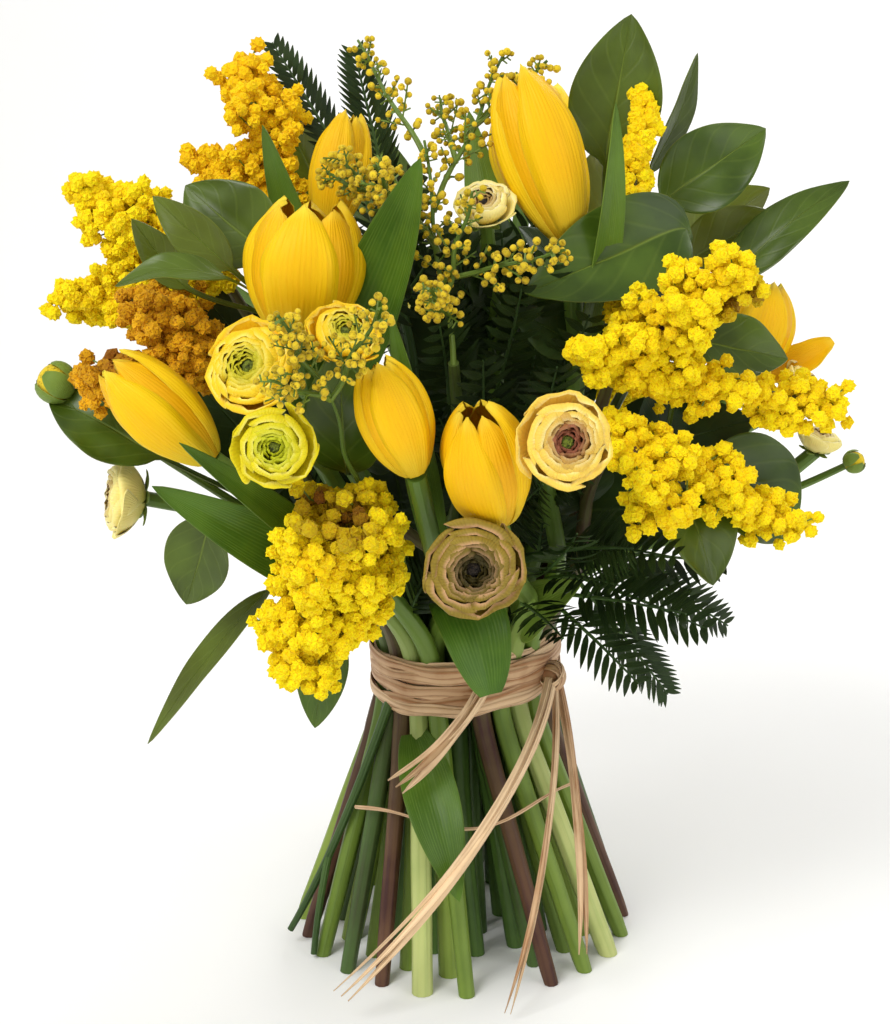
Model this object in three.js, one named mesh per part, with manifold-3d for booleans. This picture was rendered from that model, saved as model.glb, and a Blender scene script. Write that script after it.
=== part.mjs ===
// A hand-tied spring bunch: tulips, ranunculus, mimosa and leafy branches, bound at the waist with raffia.
// It stands unheld on its splayed cut ends. Millimetres, +Z up, the front of the bunch looks along -Y, and the
// origin is the middle of the cut ends, on the surface that the bunch stands on.
import * as THREE from "three";
import { mergeVertices } from "three/addons/utils/BufferGeometryUtils.js";
import Module from "manifold-3d";

const wasm = await Module();
wasm.setup();

// ---- driving dimensions -------------------------------------------------------------------------------------
const WAIST = { low: 119, high: 155 }; // the stems are held straight together between these heights
const WAIST_Z = (WAIST.low + WAIST.high) / 2;
const FOOT_SPREAD = 2.1; // how much wider the stems stand on the floor than at the waist
const TWIST = 0.4; // radians that the spiral turns between the floor and the waist
const CLEAR = 0.35; // air left round a piece that another one gives way to
const SEAT_GAP = 0.3; // between the top of a stem and the bloom that sits on it
const SIDES = 5; // sides of a stem's section

// The stems stand in rings round the middle: each ring's radius at the waist, its number of stems and their
// diameter.
const RINGS = {
  centre: { radius: 0, count: 1, diameter: 13.6 },
  heart: { radius: 8.6, count: 5, diameter: 12.4 },
  middle: { radius: 18.8, count: 12, diameter: 11.2 },
  inner: { radius: 28.4, count: 18, diameter: 9.9 },
  outer: { radius: 37.5, count: 24, diameter: 9.4 },
};
const CORE_TOP = WAIST.high + 6; // the stems in the middle end in the leaves here

// Each finish: its colour and its roughness.
const FINISHES = {
  tulip_petal: [0xf2ae05, 0.42],
  ranunculus_petal: [0xe8cb5a, 0.55],
  ranunculus_lemon: [0xd8c92e, 0.55],
  ranunculus_bronze: [0x9a7a33, 0.6],
  mimosa_yellow: [0xf0d21c, 0.9],
  mimosa_ochre: [0xd99a12, 0.9],
  mimosa_bud: [0xcfae2c, 0.8],
  stem_green: [0x5f7f35, 0.5],
  branch_green: [0x3d5a22, 0.4],
  dark_foliage: [0x24371c, 0.6],
  raffia: [0xc9a27a, 0.8],
};

// ---- what the bunch holds -----------------------------------------------------------------------------------
// A petal that has `fallen` hangs open. A leaf grows from its stem at the share `on` of the way from the raffia
// to the flower, or `under` the raffia at that height.
const TULIPS = [
  { name: "tulip_1", base: [-70, -84, 305], tip: [-65, -84, 366], radius: 25, ring: "inner", turn: 0.5,
    leaves: [{ on: 0.75, to: [-19, -112, 385], width: 30, face: [-0.3, -1, 0.1], arch: -0.06 }] },
  { name: "tulip_2", base: [-60, -40, 345], tip: [-50, -32, 396], radius: 13.5, ring: "inner", turn: 0.2,
    leaves: [{ on: 0.75, to: [-86, -50, 392], width: 17, face: [-0.2, -1, 0], arch: 0.05 }] },
  { name: "tulip_3", base: [42, -72, 347], tip: [19, -60, 416], radius: 19, ring: "inner", turn: 0.9,
    leaves: [{ on: 0.72, to: [59, -84, 404], width: 15, face: [0.6, -0.8, 0], arch: 0.06 }] },
  { name: "tulip_4", base: [-105, -105, 262], tip: [-146, -110, 303], radius: 17, ring: "outer", turn: 0.3,
    leaves: [{ on: 0.25, to: [-130, -108, 251], width: 27, face: [-0.2, -0.9, 0.4], arch: 0.08 },
      { on: 0.3, to: [-114, -138, 277], width: 15, face: [0.5, -0.9, 0.2], arch: 0.05 },
      { under: 112, to: [-3, -84, 50], width: 25, face: [0.1, -1, 0.15], arch: 0.08 }] },
  { name: "tulip_5", base: [-21, -138, 264], tip: [-37, -138, 310], radius: 15, ring: "inner", turn: 0.75,
    leaves: [{ on: 0.6, to: [-31, -118, 325], width: 14, face: [0, -1, 0], arch: 0.05 },
      { on: 0.2, to: [10, -97, 155], width: 32, face: [0.1, -0.75, 0.7], arch: 0.38 }] },
  { name: "tulip_6", base: [12, -128, 241], tip: [1, -146, 294], radius: 19, ring: "outer", turn: 0.05,
    leaves: [{ on: 0.12, to: [50, -74, 198], width: 24, face: [0.1, -0.8, 0.6], arch: 0.12 }] },
  { name: "tulip_7", base: [124, -8, 272], tip: [139, 2, 318], radius: 18, ring: "inner", turn: 0.6,
    fallen: { from: [131, -9, 273], to: [167, -7, 291], width: 18, face: [0.3, 0, 1], arch: -0.12, cup: 0.35,
      rows: 3 },
    leaves: [] },
  { name: "tulip_8", base: [-88, 84, 308], tip: [-112, 104, 358], radius: 21, ring: "outer", turn: 0.4,
    leaves: [{ on: 0.4, to: [-132, 84, 246], width: 26, face: [-0.7, 0.5, 0.5], arch: 0.12 },
      { on: 0.6, to: [-156, 54, 322], width: 26, face: [-0.4, 0.3, 0.8], arch: 0.1 }] },
  { name: "tulip_9", base: [28, 62, 345], tip: [36, 84, 402], radius: 22, ring: "inner", turn: 0.1,
    leaves: [{ on: 0.7, to: [2, 92, 386], width: 22, face: [0, 1, 0.2], arch: 0.05 }] },
];

const RANUNCULUS = [
  { name: "ranunculus_1", face: [-88, -138, 309], toward: [-0.35, -0.8, 0.45], radius: 18.5, ring: "inner" },
  { name: "ranunculus_2", face: [-48, -130, 322], toward: [0.2, -0.65, 0.75], radius: 14, ring: "inner",
    leaf: { on: 0.6, from: [-50, -110, 258], to: [-50, -136, 317], width: 32, face: [-0.1, -0.95, 0.3],
      arch: 0.06 } },
  { name: "ranunculus_3", face: [-76, -152, 278], toward: [-0.1, -0.97, 0.05], radius: 15.5, ring: "outer",
    colour: "ranunculus_lemon" },
  { name: "ranunculus_4", face: [38, -160, 283], toward: [0.15, -0.93, 0.3], radius: 17.5, ring: "outer" },
  { name: "ranunculus_5", face: [2, -155, 229], toward: [0.08, -0.99, 0.02], radius: 19.5, ring: "outer",
    colour: "ranunculus_bronze" },
  { name: "ranunculus_6", face: [-157, -62, 234], toward: [-0.95, -0.25, 0.15], radius: 17, ring: "outer",
    bud: { at: [-178, -52, 282], radius: 9 } },
  { name: "ranunculus_7", face: [160, -12, 272], toward: [0.75, -0.25, 0.6], radius: 15, ring: "outer" },
  { name: "ranunculus_8", face: [157, -42, 258], toward: [0.25, -0.1, 1], radius: 10, ring: "outer",
    bud: { at: [172, -42, 244], radius: 5 } },
  { name: "ranunculus_9", face: [6, -82, 366], toward: [-0.1, -0.6, 0.8], radius: 12, ring: "inner" },
  { name: "ranunculus_10", face: [-50, 134, 286], toward: [-0.3, 0.9, 0.25], radius: 22, ring: "outer",
    colour: "ranunculus_lemon" },
  { name: "ranunculus_11", face: [58, 132, 292], toward: [0.35, 0.9, 0.25], radius: 23, ring: "outer" },
];

// A sprig of mimosa runs from the branch's end to a point and is `spread` wide on each side. Its balls are
// larger than life. A twig in bud is thin, with small round buds strung along it.
const MIMOSA_BALL = 8;
const BUD = 3.3;
const MIMOSA = [
  { name: "mimosa_1", ring: "outer", colour: "mimosa_yellow", end: [-40, -112, 246],
    sprigs: [{ to: [-62, -140, 224], spread: 24 }, { to: [-74, -108, 170], spread: 24 }],
    twigs: [{ from: [-42, -113, 242], to: [-54, -142, 296], buds: 0 },
      { from: [-54, -142, 295], to: [-72, -162, 332], buds: 5 },
      { from: [-54, -142, 295], to: [-34, -170, 336], buds: 5 },
      { from: [-54, -142, 295], to: [-75, -170, 309], buds: 3 }] },
  { name: "mimosa_2", ring: "inner", colour: "mimosa_yellow", end: [60, -94, 298],
    sprigs: [{ to: [106, -114, 342], spread: 20 }, { to: [151, -86, 281], spread: 13 },
      { to: [76, -30, 404], spread: 10 }, { to: [45, -122, 312], spread: 9 }] },
  { name: "mimosa_3", ring: "outer", colour: "mimosa_yellow", end: [62, -104, 276],
    sprigs: [{ to: [84, -124, 241], spread: 16 }, { to: [140, -80, 225], spread: 14 }] },
  { name: "mimosa_4", ring: "outer", colour: "mimosa_yellow", end: [-108, -22, 324],
    sprigs: [{ to: [-169, -18, 361], spread: 15 }, { to: [-176, -24, 313], spread: 14 }] },
  { name: "mimosa_5", ring: "outer", colour: "mimosa_ochre", end: [-101, -64, 294],
    sprigs: [{ to: [-142, -72, 323], spread: 15 }, { to: [-161, -74, 287], spread: 13 }] },
  { name: "mimosa_6", ring: "inner", colour: "mimosa_ochre", end: [-82, -14, 346],
    sprigs: [{ to: [-97, 2, 413], spread: 18 }, { to: [-118, -4, 374], spread: 11 }] },
  { name: "mimosa_7", ring: "outer", colour: "mimosa_yellow", end: [-60, 88, 232],
    sprigs: [{ to: [-116, 120, 222], spread: 19 }, { to: [-36, 128, 212], spread: 16 }] },
  { name: "mimosa_8", ring: "outer", colour: "mimosa_yellow", end: [76, 76, 250],
    sprigs: [{ to: [126, 106, 288], spread: 18 }, { to: [114, 114, 222], spread: 17 }] },
  { name: "mimosa_9", ring: "inner", colour: "mimosa_bud", end: [-6, -96, 300], sprigs: [],
    twigs: [{ from: [-6, -96, 299], to: [-18, -74, 388], buds: 7 },
      { from: [-14, -81, 360], to: [16, -34, 421], buds: 6 },
      { from: [-10, -88, 333], to: [38, -112, 349], buds: 5 },
      { from: [-8, -92, 317], to: [-16, -132, 337], buds: 5 },
      { from: [-12, -84, 347], to: [-56, -84, 384], buds: 6 }] },
];

// Leafy branches: each leaf has a short stalk from the branch, at the share `on`, to its own foot.
const LEAFY = [
  { name: "leafy_branch_1", ring: "inner", end: [70, -22, 352], leaves: [
    { from: [60, -26, 374], to: [70, -22, 436], width: 40, face: [-0.1, -1, 0.2], arch: 0.04 },
    { from: [86, -20, 356], to: [131, -12, 387], width: 36, face: [0.1, -1, 0.3], arch: 0.08 },
    { from: [82, 2, 366], to: [103, 12, 418], width: 17, face: [0.8, -0.6, 0], arch: 0.06 }] },
  { name: "leafy_branch_2", ring: "outer", end: [88, -30, 306], leaves: [
    { from: [92, -64, 350], to: [23, -92, 328], width: 42, face: [0, -0.9, 0.4], arch: 0.06 },
    { from: [114, -12, 318], to: [171, -2, 363], width: 24, face: [-0.3, -0.8, 0.5], arch: 0.08 },
    { from: [101, 4, 325], to: [140, 12, 347], width: 30, face: [0, -0.9, 0.4], arch: 0.05 }] },
  { name: "leafy_branch_3", ring: "outer", end: [94, -62, 262], leaves: [
    { from: [98, -52, 298], to: [139, -50, 292], width: 30, face: [0.1, -0.8, 0.6], arch: 0.08 },
    { from: [106, -68, 254], to: [143, -58, 214], width: 46, face: [0.4, -0.8, 0.3], arch: 0.1 },
    { from: [88, -76, 244], to: [104, -96, 204], width: 38, face: [0.5, -0.8, 0.2], arch: 0.1 }] },
  { name: "leafy_branch_4", ring: "inner", end: [-86, -66, 330], leaves: [
    { from: [-84, -64, 338], to: [-119, -52, 367], width: 38, face: [-0.1, -0.9, 0.4], arch: 0.06 },
    { from: [-98, -78, 336], to: [-130, -72, 365], width: 19, face: [-0.3, -0.8, 0.4], arch: 0.06 },
    { from: [-118, -66, 326], to: [-141, -60, 354], width: 17, face: [0.3, -0.9, 0.2], arch: -0.06 },
    { from: [-99, -90, 334], to: [-144, -92, 331], width: 17, face: [0, -0.5, 0.9], arch: 0.16 }] },
  { name: "leafy_branch_5", ring: "outer", end: [-104, -62, 240], leaves: [
    { from: [-132, -70, 254], to: [-182, -52, 276], width: 34, face: [0.1, -0.8, 0.6], arch: 0.06 },
    { from: [-110, -68, 224], to: [-124, -62, 184], width: 31, face: [-0.2, -0.9, 0.3], arch: 0.05 },
    { from: [-88, -48, 186], to: [-147, -42, 109], width: 14, face: [-0.5, -0.7, 0.5], arch: 0.05 },
    { from: [-60, -58, 172], to: [-68, -64, 126], width: 24, face: [-0.2, -0.9, 0.2], arch: 0.05 }] },
  { name: "leafy_branch_6", ring: "outer", end: [-34, 74, 298], leaves: [
    { from: [-60, 52, 336], to: [-88, 46, 396], width: 36, face: [-0.5, 0.6, 0.5], arch: 0.06 },
    { from: [-20, 84, 270], to: [-8, 126, 216], width: 40, face: [0, 0.9, 0.3], arch: 0.1 },
    { from: [-36, 80, 330], to: [-48, 112, 378], width: 40, face: [-0.2, 0.9, 0.3], arch: 0.05 }] },
  { name: "leafy_branch_7", ring: "inner", end: [96, 54, 308], leaves: [
    { from: [100, 54, 318], to: [146, 62, 352], width: 36, face: [0.5, 0.6, 0.5], arch: 0.06 },
    { from: [104, 60, 280], to: [150, 66, 254], width: 40, face: [0.7, 0.5, 0.4], arch: 0.1 },
    { from: [66, 84, 330], to: [82, 112, 376], width: 38, face: [0.2, 0.8, 0.4], arch: 0.05 },
    { from: [44, 104, 240], to: [54, 128, 190], width: 36, face: [0.3, 0.9, 0.2], arch: 0.1 }] },
];

// Feathery fronds and cut-edged leaves, on long stalks from the middle of the bunch.
const FRONDS = [
  { base: [-44, 2, 352], tip: [-87, 20, 422], width: 15, teeth: 5 },
  { base: [-34, 8, 348], tip: [-50, 12, 419], width: 19, teeth: 5 },
  { base: [60, -58, 206], tip: [119, -42, 167], width: 20, teeth: 4 },
  { base: [50, -54, 192], tip: [92, -48, 136], width: 18, teeth: 4 },
  { base: [-30, 70, 215], tip: [-62, 114, 180], width: 20, teeth: 4 },
  { base: [16, -88, 228], tip: [30, -124, 256], width: 26, teeth: 3 },
  { base: [42, -84, 216], tip: [68, -114, 226], width: 32, teeth: 3 },
  { base: [0, -26, 236], tip: [2, -42, 326], width: 26, teeth: 5 },
  { base: [22, -40, 236], tip: [30, -62, 306], width: 24, teeth: 4 },
].map((row, i) => ({ ...row, ring: "middle", name: `frond_${i + 1}` }));

const KNOT = { at: [41, -25, 136], radius: 7 };
const TIE = { height: 24, thickness: 2.8, ribs: 3, sides: 20, tilt: 0.11 };
const RAFFIA_ENDS = [
  { from: [40, -30, 136], via: [28, -82, 92], to: [-56, -104, 14], width: 6 },
  { from: [42, -28, 132], via: [44, -76, 84], to: [18, -102, 4], width: 3.4 },
  { from: [44, -24, 132], via: [54, -60, 90], to: [52, -92, 28], width: 4 },
  { from: [9.6, -43.4, 140], via: [-2, -62, 122], to: [-32, -70, 100], width: 6 },
];

// ---- small helpers ------------------------------------------------------------------------------------------
const V = (p) => new THREE.Vector3(...p);
const UP = new THREE.Vector3(0, 0, 1);
const unit = (p) => V(p).normalize();
const lerp = (a, b, t) => a + (b - a) * t;

// A repeatable stream of numbers from 0 to 1.
function draws(seed) {
  let state = seed;
  return () => {
    state = (state * 16807) % 2147483647;
    return state / 2147483647;
  };
}

function solid(geometry) {
  const g = geometry.clone();
  g.deleteAttribute("normal");
  g.deleteAttribute("uv");
  const merged = mergeVertices(g, 1e-4);
  return new wasm.Manifold(
    new wasm.Mesh({
      numProp: 3,
      vertProperties: new Float32Array(merged.attributes.position.array),
      triVerts: new Uint32Array(merged.index.array),
    }),
  );
}

function closed(points, index) {
  const g = new THREE.BufferGeometry();
  const xyz = new Float32Array(points.flatMap((p) => p.toArray()));
  g.setAttribute("position", new THREE.BufferAttribute(xyz, 3));
  g.setIndex(index);
  return solid(g);
}

// Rings of points, one after another, joined into a tube with flat ends.
function skin(rings) {
  const n = rings[0].length;
  const last = rings.length - 1;
  const points = rings.flat();
  const index = [];
  for (let i = 0; i < last; i++)
    for (let j = 0; j < n; j++) {
      const a = i * n + j, b = i * n + ((j + 1) % n);
      index.push(a, b, b + n, a, b + n, a + n);
    }
  for (let j = 1; j < n - 1; j++) {
    index.push(0, j + 1, j);
    index.push(last * n, last * n + j, last * n + j + 1);
  }
  return closed(points, index);
}

// A tube along a path. A section lies square to the path, or square to its own `facing`, and its first corner
// points along `side`, carried along the path without twist.
function tube(path, radii, sides = SIDES, side = new THREE.Vector3(1, 0.2, 0.1), grow = 0) {
  let along = side.clone();
  const rings = path.map((p, i) => {
    const t = p.facing
      ?? path[Math.min(i + 1, path.length - 1)].at.clone().sub(path[Math.max(i - 1, 0)].at).normalize();
    if (p.side) along = p.side.clone();
    along = along.addScaledVector(t, -along.dot(t)).normalize();
    const across = t.clone().cross(along);
    const r = radii[i] + grow;
    const end = i === 0 ? -grow : i === path.length - 1 ? grow : 0;
    return Array.from({ length: sides }, (_, k) => {
      const a = (2 * Math.PI * k) / sides;
      return p.at.clone().addScaledVector(along, r * Math.cos(a)).addScaledVector(across, r * Math.sin(a))
        .addScaledVector(t, end);
    });
  });
  return skin(rings);
}

const route = (points) => points.map((at) => ({ at }));

// ---- stems --------------------------------------------------------------------------------------------------
const spreadAt = (z) => 1 + (FOOT_SPREAD - 1) * Math.max(0, (WAIST.low - z) / WAIST.low);

// A stem's place at a height: its place at the waist, turned by the spiral and moved outwards as the bunch
// widens.
function bound(slot, z) {
  const turn = slot.azimuth + TWIST * (1 - z / WAIST_Z);
  const r = slot.radius * spreadAt(z);
  return {
    at: new THREE.Vector3(r * Math.cos(turn), r * Math.sin(turn), z),
    side: new THREE.Vector3(-Math.sin(turn), Math.cos(turn), 0),
    facing: UP,
  };
}

// A point just inside the outer side of a stem in the bundle, where a leaf grows.
const OUTER_SHARE = 0.38;
const outside = (slot, z) => bound({ ...slot, radius: slot.radius + OUTER_SHARE * slot.diameter }, z).at;

// The way of a stem: down in the bundle it keeps to its slot, and above it bends over two free points to `end`.
const BOUND_HEIGHTS = [0, WAIST.low, WAIST.high];
const FREE_SHARES = [1 / 3, 2 / 3];
const LEAN = 0.35; // how far an outer stem leans out as it leaves the raffia, per unit of height
const HANDLES = { start: 0.3, end: 0.36 }; // how stiffly a way keeps its two directions, in shares of its reach

function layWay(slot, end, toward) {
  const start = bound(slot, WAIST.high).at;
  const lean = start.clone().setZ(0).multiplyScalar(LEAN / RINGS.outer.radius).setZ(1).normalize();
  const reach = start.distanceTo(end);
  const curve = new THREE.CubicBezierCurve3(start, start.clone().addScaledVector(lean, reach * HANDLES.start),
    end.clone().addScaledVector(toward, -reach * HANDLES.end), end);
  return [start, ...FREE_SHARES.map((t) => curve.getPoint(t)), end.clone()];
}

// A point on the free part of a way, at the share t of it.
function along(way, t) {
  const s = t * (way.length - 1), i = Math.min(Math.floor(s), way.length - 2);
  return way[i].clone().lerp(way[i + 1], s - i);
}

// Ways that would bring two stems together are eased apart, a little in each round, at their free points.
const EASING = { rounds: 120, samples: 25, space: 1.6, step: 0.25 };

function easeApart(stalks) {
  const shares = evenly(EASING.samples - 1).slice(1);
  const girths = stalks.map((s) => shares.map((t) => girthAt(s, t)));
  for (let round = 0; round < EASING.rounds; round++) {
    const marks = stalks.map(({ way }) => shares.map((t) => along(way, t)));
    for (let p = 0; p < stalks.length; p++)
      for (let q = p + 1; q < stalks.length; q++) {
        marks[p].forEach((a, i) => marks[q].forEach((b, j) => {
          const room = girths[p][i] + girths[q][j] + EASING.space;
          const gap = a.distanceTo(b);
          if (gap >= room) return;
          const push = a.clone().sub(b).setLength((room - gap) * EASING.step);
          nudge(stalks[p].way, shares[i], push);
          nudge(stalks[q].way, shares[j], push.negate());
        }));
      }
  }
}

// Moves the free points to either side of the share t, the nearer one more. The two ends of a way stay.
function nudge(way, t, push) {
  const s = t * (way.length - 1), i = Math.min(Math.floor(s), way.length - 2);
  if (i > 0) way[i].addScaledVector(push, 1 - (s - i));
  if (i + 1 < way.length - 1) way[i + 1].addScaledVector(push, s - i);
}

// A stem's radius on its free part, thinning from the waist to `top`.
const girthAt = ({ slot, top }, t) => lerp(slot.diameter / 2, top, Math.min(1, 1.2 * t));

function stalk(s) {
  const { slot, way, toward, foot } = s;
  const path = BOUND_HEIGHTS.map((z) => bound(slot, z)).concat(route(way.slice(1)));
  path.at(-1).facing = toward;
  const waist = slot.diameter / 2;
  const radii = [foot, waist, waist, ...[...FREE_SHARES, 1].map((t) => girthAt(s, t))];
  return (grow) => tube(path, radii, SIDES, path[0].side, grow);
}

// ---- leaves and petals --------------------------------------------------------------------------------------
// The half width of a leaf at the share v of its length, against its widest. A tulip leaf is broad at its foot,
// and a cut-edged one is wide and narrow by turns.
const OUTLINES = {
  lance: (v) => Math.sin(Math.PI * Math.min(1, 0.12 + 0.88 * v ** 0.9)) ** 0.75,
  oval: (v) => Math.sin(Math.PI * v ** 0.85) ** 0.7,
  cut: (v, i) => Math.sin(Math.PI * v ** 0.8) ** 0.5 * (i % 2 ? 1 : 0.5),
  strap: () => 1,
};
const NARROWEST = 0.9;

const INSIDE = { u: 0.9, v: 0.85 };

// A thin closed blade over a surface given as point(u, v), u from -1 to 1 across and v from 0 to 1 along.
function blade(point, columns, rows, thickness) {
  const faces = [1, -1].map((side) =>
    evenly(rows).map((v) =>
      Array.from({ length: columns + 1 }, (_, j) => {
        const u = (2 * j) / columns - 1;
        // the normal is taken a little inside the rim, because at a narrow tip the two directions run together
        const d = 1e-3, p = INSIDE.u * u, q = Math.min(INSIDE.v, v);
        const across = point(p + d, q).sub(point(p - d, q));
        const along = point(p, q + d).sub(point(p, Math.max(0, q - d)));
        const normal = across.cross(along).normalize();
        return point(u, v).addScaledVector(normal, (side * thickness) / 2);
      }),
    ),
  );
  const w = columns + 1, sheet = w * (rows + 1);
  const points = faces.flat(2);
  const index = [];
  const quad = (a, b, c, d) => index.push(a, b, c, a, c, d);
  for (let i = 0; i < rows; i++)
    for (let j = 0; j < columns; j++) {
      const a = i * w + j;
      quad(a, a + 1, a + w + 1, a + w);
      index.push(sheet + a, sheet + a + w + 1, sheet + a + 1, sheet + a, sheet + a + w, sheet + a + w + 1);
    }
  for (let i = 0; i < rows; i++) {
    const a = i * w, b = i * w + columns;
    quad(a, a + w, sheet + a + w, sheet + a);
    quad(b + w, b, sheet + b, sheet + b + w);
  }
  for (let j = 0; j < columns; j++) {
    const a = j, b = rows * w + j;
    quad(a + 1, a, sheet + a, sheet + a + 1);
    quad(b, b + 1, sheet + b + 1, sheet + b);
  }
  return closed(points, index);
}

const evenly = (rows) => Array.from({ length: rows + 1 }, (_, i) => i / rows);

// The value of evenly spaced levels at the share s of the way through them.
function between(levels, s) {
  const i = s * (levels.length - 1), low = Math.min(Math.floor(i), levels.length - 2);
  return lerp(levels[low], levels[low + 1], i - low);
}

// A leaf from foot to tip. It bulges towards `face` by `arch` of its length, and its edges lift into a shallow
// trough. A leaf with a `stem` has a narrow stalk from that point to its foot, over the first third of its
// spine.
const LEAF_STALK = 2.4;
const LEAF_THICKNESS = 0.9;

function leaf({ stem, from, to, by, width, face, arch = 0, cup = 0.22, outline = "oval", rows = 4 }, grow = 0) {
  const foot = from.isVector3 ? from : V(from);
  const tip = V(to);
  const axis = tip.clone().sub(foot);
  const out = unit(face).addScaledVector(axis, -unit(face).dot(axis) / axis.lengthSq()).normalize();
  const bulge = (times) => foot.clone().lerp(tip, 0.5).addScaledVector(out, times * arch * axis.length());
  const spine = stem
    ? new THREE.CatmullRomCurve3([stem, foot, bulge(1), tip])
    : new THREE.QuadraticBezierCurve3(foot, by ? V(by) : bulge(2), tip);
  const shares = evenly(rows);
  const halves = shares.map((v, i) => Math.max(NARROWEST, (width / 2) * OUTLINES[outline](v, i)));
  const levels = stem ? [0, ...shares.map((v) => lerp(1 / 3, 1, v))] : shares;
  if (stem) halves.unshift(LEAF_STALK / 2);
  const point = (u, s) => {
    const v = between(levels, s);
    const t = spine.getTangent(v);
    const across = t.clone().cross(out).normalize();
    const lift = across.clone().cross(t).normalize();
    const half = between(halves, s) + grow;
    return spine.getPoint(v).addScaledVector(across, u * half).addScaledVector(lift, cup * half * u * u);
  };
  return blade(point, 2, levels.length - 1, LEAF_THICKNESS + 2 * grow);
}

// One petal of a tulip: a strip of a bellied cup, drawn in at the tip.
const PETAL_THICKNESS = 1;
const BELLY = { start: 0.03, span: 0.85, power: 0.6 };
const belly = (v) => Math.sin(Math.PI * (BELLY.start + BELLY.span * v)) ** BELLY.power;

function tulipPetal(length, radius, centre, spread, columns, levels) {
  const point = (u, s) => {
    const v = between(levels, s);
    const a = centre + u * spread * (0.07 + 0.93 * Math.sqrt(1 - v ** 5));
    const r = radius * belly(v) * (1 - 0.11 * u * u);
    return new THREE.Vector3(r * Math.cos(a), r * Math.sin(a), length * v * (1 - 0.05 * u * u * v));
  };
  return blade(point, columns, levels.length - 1, PETAL_THICKNESS);
}

const PETALS = {
  outer: { spread: 0.98, columns: 3, levels: [0.09, 0.42, 0.78, 1] },
  inner: { spread: 0.86, columns: 1, levels: [0.09, 0.5, 1], inset: 0.9, space: 2,
    height: 0.97 },
};
const SEAT = [[0, 0.2], [0.03, 0.4], [0.12, 0.62]]; // the rounded foot under the petals: heights and radii
const SEAT_SIDES = 9;

function tulipBloom({ base, tip, radius, turn, fallen }) {
  const length = V(base).distanceTo(V(tip));
  const { outer, inner } = PETALS;
  const corner = turn + Math.PI / SEAT_SIDES;
  const petals = [tube(SEAT.map(([z]) => ({ at: new THREE.Vector3(0, 0, z * length), facing: UP })),
    SEAT.map(([, r]) => r * radius), SEAT_SIDES, new THREE.Vector3(Math.cos(corner), Math.sin(corner), 0))];
  for (let k = 0; k < 3; k++) {
    const centre = turn + (k * 2 * Math.PI) / 3;
    petals.push(tulipPetal(length, radius, centre, outer.spread, outer.columns, outer.levels));
    petals.push(tulipPetal(length * inner.height, radius * inner.inset - inner.space, centre + Math.PI / 3,
      inner.spread, inner.columns, inner.levels));
  }
  const bloom = stand(wasm.Manifold.union(petals), V(base), V(tip).sub(V(base)));
  return fallen ? bloom.add(leaf({ outline: "lance", ...fallen })) : bloom;
}

// A ranunculus head: a globe of many close petals, whose rims show from above as rings round a small eye.
const GLOBE = [[0.24, 0], [0.76, 0.16], [1, 0.66]];
const RIMS = [[0.93, 1.0], [0.79, 0.86], [0.68, 1.12], [0.53, 0.98], [0.41, 1.15], [0.26, 1.02]];
const EYE_DEPTH = 0.86;
const FLATTENING = 0.88;
const PETAL_WAVE = 0.05;

const HEAD_SIDES = 9;

function ranunculusBloom({ face, toward, radius, seed }) {
  const sides = HEAD_SIDES;
  const next = draws(seed);
  const rings = [...GLOBE, ...RIMS].map(([r, z], i) => {
    const wave = i < 2 ? 0 : PETAL_WAVE, start = next() * 2 * Math.PI;
    return Array.from({ length: sides }, (_, k) => {
      const a = (2 * Math.PI * k) / sides + 0.15 * i;
      const swell = 1 + wave * Math.sin(3 * a + start);
      return new THREE.Vector3(radius * r * swell * Math.cos(a), radius * r * swell * Math.sin(a),
        radius * FLATTENING * (z + wave * Math.sin(2 * a + start)));
    });
  });
  const eye = new THREE.Vector3(0, 0, radius * FLATTENING * EYE_DEPTH);
  const points = [...rings.flat(), new THREE.Vector3(0, 0, 0), eye];
  const bottom = rings.flat().length, top = bottom + 1, last = (rings.length - 1) * sides;
  const index = [];
  for (let i = 0; i < rings.length - 1; i++)
    for (let k = 0; k < sides; k++) {
      const a = i * sides + k, b = i * sides + ((k + 1) % sides);
      index.push(a, b, b + sides, a, b + sides, a + sides);
    }
  for (let k = 0; k < sides; k++) {
    index.push(bottom, (k + 1) % sides, k);
    index.push(top, last + k, last + ((k + 1) % sides));
  }
  return stand(closed(points, index), headBase({ face, toward, radius }), unit(toward));
}

const HEAD_DEPTH = 0.97; // a ranunculus head's depth, in radii
const headBase = ({ face, toward, radius }) => V(face).addScaledVector(unit(toward), -radius * HEAD_DEPTH);

// A shape made on the origin and upright, set on `base` so that it looks along `axis`.
function stand(shape, base, axis) {
  const m = new THREE.Matrix4().makeRotationFromQuaternion(
    new THREE.Quaternion().setFromUnitVectors(new THREE.Vector3(0, 0, 1), axis.clone().normalize()));
  m.setPosition(base);
  return shape.transform(m.elements);
}

// ---- mimosa -------------------------------------------------------------------------------------------------
const ball = (at, radius) => solid(new THREE.IcosahedronGeometry(radius, 0)).translate(at.toArray());

const plump = (v) => Math.sin(Math.PI * (0.04 + 0.84 * v)) ** 0.6;

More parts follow.
